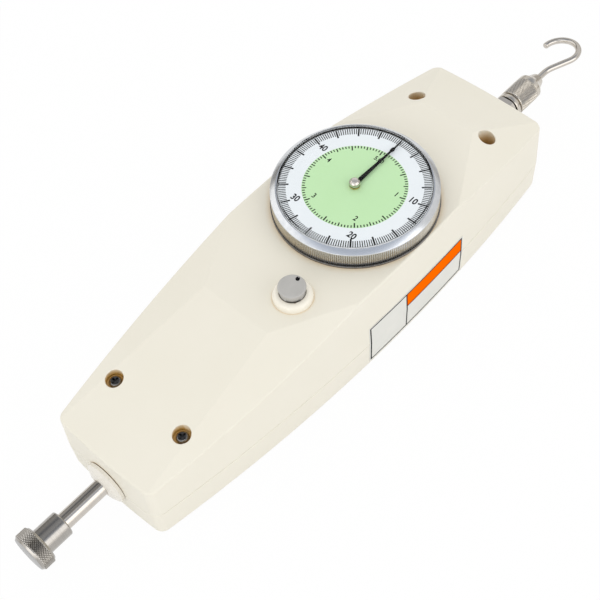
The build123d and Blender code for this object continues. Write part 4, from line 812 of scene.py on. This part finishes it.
def wallPiece(name, patches, low, high, material):
    work = bmesh.new()
    for patch in patches:
        wallPatch(work, *patch, low, high)
    bmesh.ops.recalc_face_normals(work, faces=work.faces)
    mesh = bpy.data.meshes.new(name)
    work.to_mesh(mesh)
    work.free()
    return addPiece(name, smooth(mesh), "case", material)


inner = (label["xLow"] + label["margin"], label["xHigh"] - label["margin"],
         label["zLow"] + label["margin"], label["zHigh"] - label["margin"])
rule = label["rule"]
wallPiece("labelSheet", [(label["xLow"], label["xHigh"], label["zLow"], label["zHigh"])], label["gap"],
          label["lift"], labelWhite)
wallPiece("labelBand", [(label["split"] + rule, inner[1] - rule, label["bandLow"], inner[3] - rule)],
          label["lift"], label["lift"] + label["ink"], labelOrange)
wallPiece("labelRules", [
    (inner[0], inner[1], inner[2], inner[2] + rule), (inner[0], inner[1], inner[3] - rule, inner[3]),
    (inner[0], inner[0] + rule, inner[2] + rule, inner[3] - rule),
    (inner[1] - rule, inner[1], inner[2] + rule, inner[3] - rule),
    (label["split"], label["split"] + rule, inner[2] + rule, inner[3] - rule),
    (label["split"] + rule, inner[1] - rule, label["bandLow"] - rule, label["bandLow"])],
    label["lift"], label["lift"] + label["ink"], inkBlack)
print("stage: dot and label")


# floor: pure white to camera, glossy and transmission rays, plain grey to the rest
floorLook = {"half": 4.0, "height": -0.0002, "grey": (0.88, 0.88, 0.88, 1.0), "rough": 0.9, "whiteShare": 0.97}


def stageFloor():
    material, tree, shader = newMaterial("floorWhite")
    shader.inputs["Base Color"].default_value = floorLook["grey"]
    shader.inputs["Roughness"].default_value = floorLook["rough"]
    shader.inputs["Specular IOR Level"].default_value = 0.0
    ray = put(tree, "ShaderNodeLightPath")
    seen = put(tree, "ShaderNodeMath", {0: ray.outputs["Is Camera Ray"], 1: ray.outputs["Is Glossy Ray"]},
               operation="MAXIMUM")
    clear = put(tree, "ShaderNodeMath", {0: seen.outputs[0], 1: ray.outputs["Is Transmission Ray"]},
                operation="MAXIMUM")
    part = put(tree, "ShaderNodeMath", {0: clear.outputs[0], 1: floorLook["whiteShare"]}, operation="MULTIPLY")
    bright = put(tree, "ShaderNodeEmission", {"Color": (1.0, 1.0, 1.0, 1.0), "Strength": 1.0})
    mix = put(tree, "ShaderNodeMixShader", {"Fac": part.outputs[0]})
    tree.links.new(shader.outputs[0], mix.inputs[1])
    tree.links.new(bright.outputs[0], mix.inputs[2])
    tree.links.new(mix.outputs[0], tree.nodes["Material Output"].inputs["Surface"])
    half = floorLook["half"]
    ways = ((-half, -half), (half, -half), (half, half), (-half, half))
    corners = [(x, y, floorLook["height"]) for x, y in ways]
    mesh = meshFrom("floor", corners, [(0, 1, 2, 3)])
    mesh.materials.append(material)
    link(bpy.data.objects.new("floor", mesh))


stageFloor()

# world: white to the camera, plain light for matt surfaces, and a room for glossy rays to show
room = {
    "plain": 0.87, "shiny": 1.1, "white": 1.0,
    # bands by height, from straight down to straight up
    "litSide": [
        (0.0, (0.62, 0.59, 0.55)), (0.14, (0.58, 0.55, 0.51)), (0.22, (1.15, 1.14, 1.12)),
        (0.66, (1.2, 1.2, 1.2)), (0.76, (0.70, 0.74, 0.82)), (0.88, (0.42, 0.46, 0.54)),
        (0.96, (0.9, 0.92, 0.95)), (1.0, (0.9, 0.92, 0.95))],
    "darkSide": [
        (0.0, (0.30, 0.28, 0.25)), (0.10, (0.08, 0.075, 0.07)), (0.32, (0.035, 0.033, 0.03)),
        (0.5, (0.14, 0.135, 0.13)), (0.62, (0.035, 0.035, 0.035)), (0.89, (0.05, 0.05, 0.05)),
        (0.915, (0.32, 0.32, 0.32)), (0.96, (0.2, 0.2, 0.2))],
    # share of the dark side by bearing, from -180 to 180 degrees
    "darkShare": [(0.0, 0.0), (0.33, 0.0), (0.365, 1.0), (0.46, 0.85), (0.60, 1.0), (0.70, 0.9), (0.77, 0.35),
                  (0.84, 0.0)],
    # the same by X, from -1 to 1, and full in the slice that the shaft shows
    "darkSlice": [(0.505, 0.0), (0.535, 1.0), (0.62, 1.0), (0.69, 0.4)],
}
world = bpy.data.worlds.new("studio")
bpy.context.scene.world = world
world.use_nodes = True
sky = world.node_tree
sky.nodes.clear()
skyRay = put(sky, "ShaderNodeLightPath")
apart = put(sky, "ShaderNodeSeparateXYZ", {"Vector": put(sky, "ShaderNodeTexCoord").outputs["Generated"]})
bearing = put(sky, "ShaderNodeMath", {0: apart.outputs["Y"], 1: apart.outputs["X"]}, operation="ARCTAN2")


def bandRamp(value, bands):
    ramp = put(sky, "ShaderNodeValToRGB", {"Fac": value})
    while len(ramp.color_ramp.elements) < len(bands):
        ramp.color_ramp.elements.new(0.5)
    for element, (spot, colour) in zip(ramp.color_ramp.elements, bands):
        element.position = spot
        element.color = (*colour, 1.0)
    return ramp.outputs[0]


def shareRamp(value, bands):
    return bandRamp(value, [(spot, (share, share, share)) for spot, share in bands])


litSide = bandRamp(apart.outputs["Z"], room["litSide"])
darkSide = bandRamp(apart.outputs["Z"], room["darkSide"])
darkShare = shareRamp(ranged(sky, bearing.outputs[0], -math.pi, math.pi), room["darkShare"])
darkSlice = shareRamp(ranged(sky, apart.outputs["X"], -1.0, 1.0), room["darkSlice"])
darkPart = put(sky, "ShaderNodeMath", {0: darkShare, 1: darkSlice}, operation="MULTIPLY")
studio = put(sky, "ShaderNodeMix", {"Factor": darkPart.outputs[0]}, data_type="RGBA")
sky.links.new(litSide, studio.inputs[6])
sky.links.new(darkSide, studio.inputs[7])
plain = put(sky, "ShaderNodeBackground", {"Color": (1.0, 1.0, 1.0, 1.0), "Strength": room["plain"]})
shiny = put(sky, "ShaderNodeBackground", {"Color": studio.outputs[2], "Strength": room["shiny"]})
white = put(sky, "ShaderNodeBackground", {"Color": (1.0, 1.0, 1.0, 1.0), "Strength": room["white"]})
lighting = put(sky, "ShaderNodeMixShader", {"Fac": skyRay.outputs["Is Glossy Ray"]})
sky.links.new(plain.outputs[0], lighting.inputs[1])
sky.links.new(shiny.outputs[0], lighting.inputs[2])
backdrop = put(sky, "ShaderNodeMixShader", {"Fac": skyRay.outputs["Is Camera Ray"]})
sky.links.new(lighting.outputs[0], backdrop.inputs[1])
sky.links.new(white.outputs[0], backdrop.inputs[2])
ending = put(sky, "ShaderNodeOutputWorld")
sky.links.new(backdrop.outputs[0], ending.inputs["Surface"])

# the key lamp stays out of reflections, where it would show as a grey square
lamps = {
    "keyLamp": {"spot": (0.15, 0.40, 0.95), "size": 1.5, "power": 2.2, "mirrored": False},
    "fillLamp": {"spot": (0.10, -0.90, 0.36), "size": 1.0, "power": 2.2, "mirrored": True},
    "endLamp": {"spot": (-0.95, -0.15, 0.22), "size": 0.8, "power": 1.9, "mirrored": True},
}
aim = Vector((-0.02, 0.0, 0.03))
for lampName, lamp in lamps.items():
    light = bpy.data.lights.new(lampName, "AREA")
    light.shape = "SQUARE"
    light.size = lamp["size"]
    light.energy = lamp["power"]
    lampObject = link(bpy.data.objects.new(lampName, light))
    lampObject.location = lamp["spot"]
    lampObject.visible_glossy = lamp["mirrored"]
    lampObject.rotation_euler = (aim - Vector(lamp["spot"])).to_track_quat("-Z", "Y").to_euler()

view = {"lens": 72.39, "sensor": 36.0, "near": 0.01, "spot": (-0.19481, -0.17835, 0.36314),
        "side": Vector((0.67364, -0.73666, -0.05949)), "up": Vector((0.62955, 0.52979, 0.56833))}
camera = bpy.data.cameras.new("camera")
camera.lens = view["lens"]
camera.sensor_width = view["sensor"]
camera.clip_start = view["near"]
cameraObject = link(bpy.data.objects.new("camera", camera))
cameraTurn = Matrix((view["side"], view["up"], view["side"].cross(view["up"]))).transposed()
cameraObject.matrix_world = Matrix.Translation(view["spot"]) @ cameraTurn.to_4x4()
bpy.context.scene.camera = cameraObject
bpy.context.scene.view_settings.view_transform = "Standard"
print("stage: floor, light and camera")
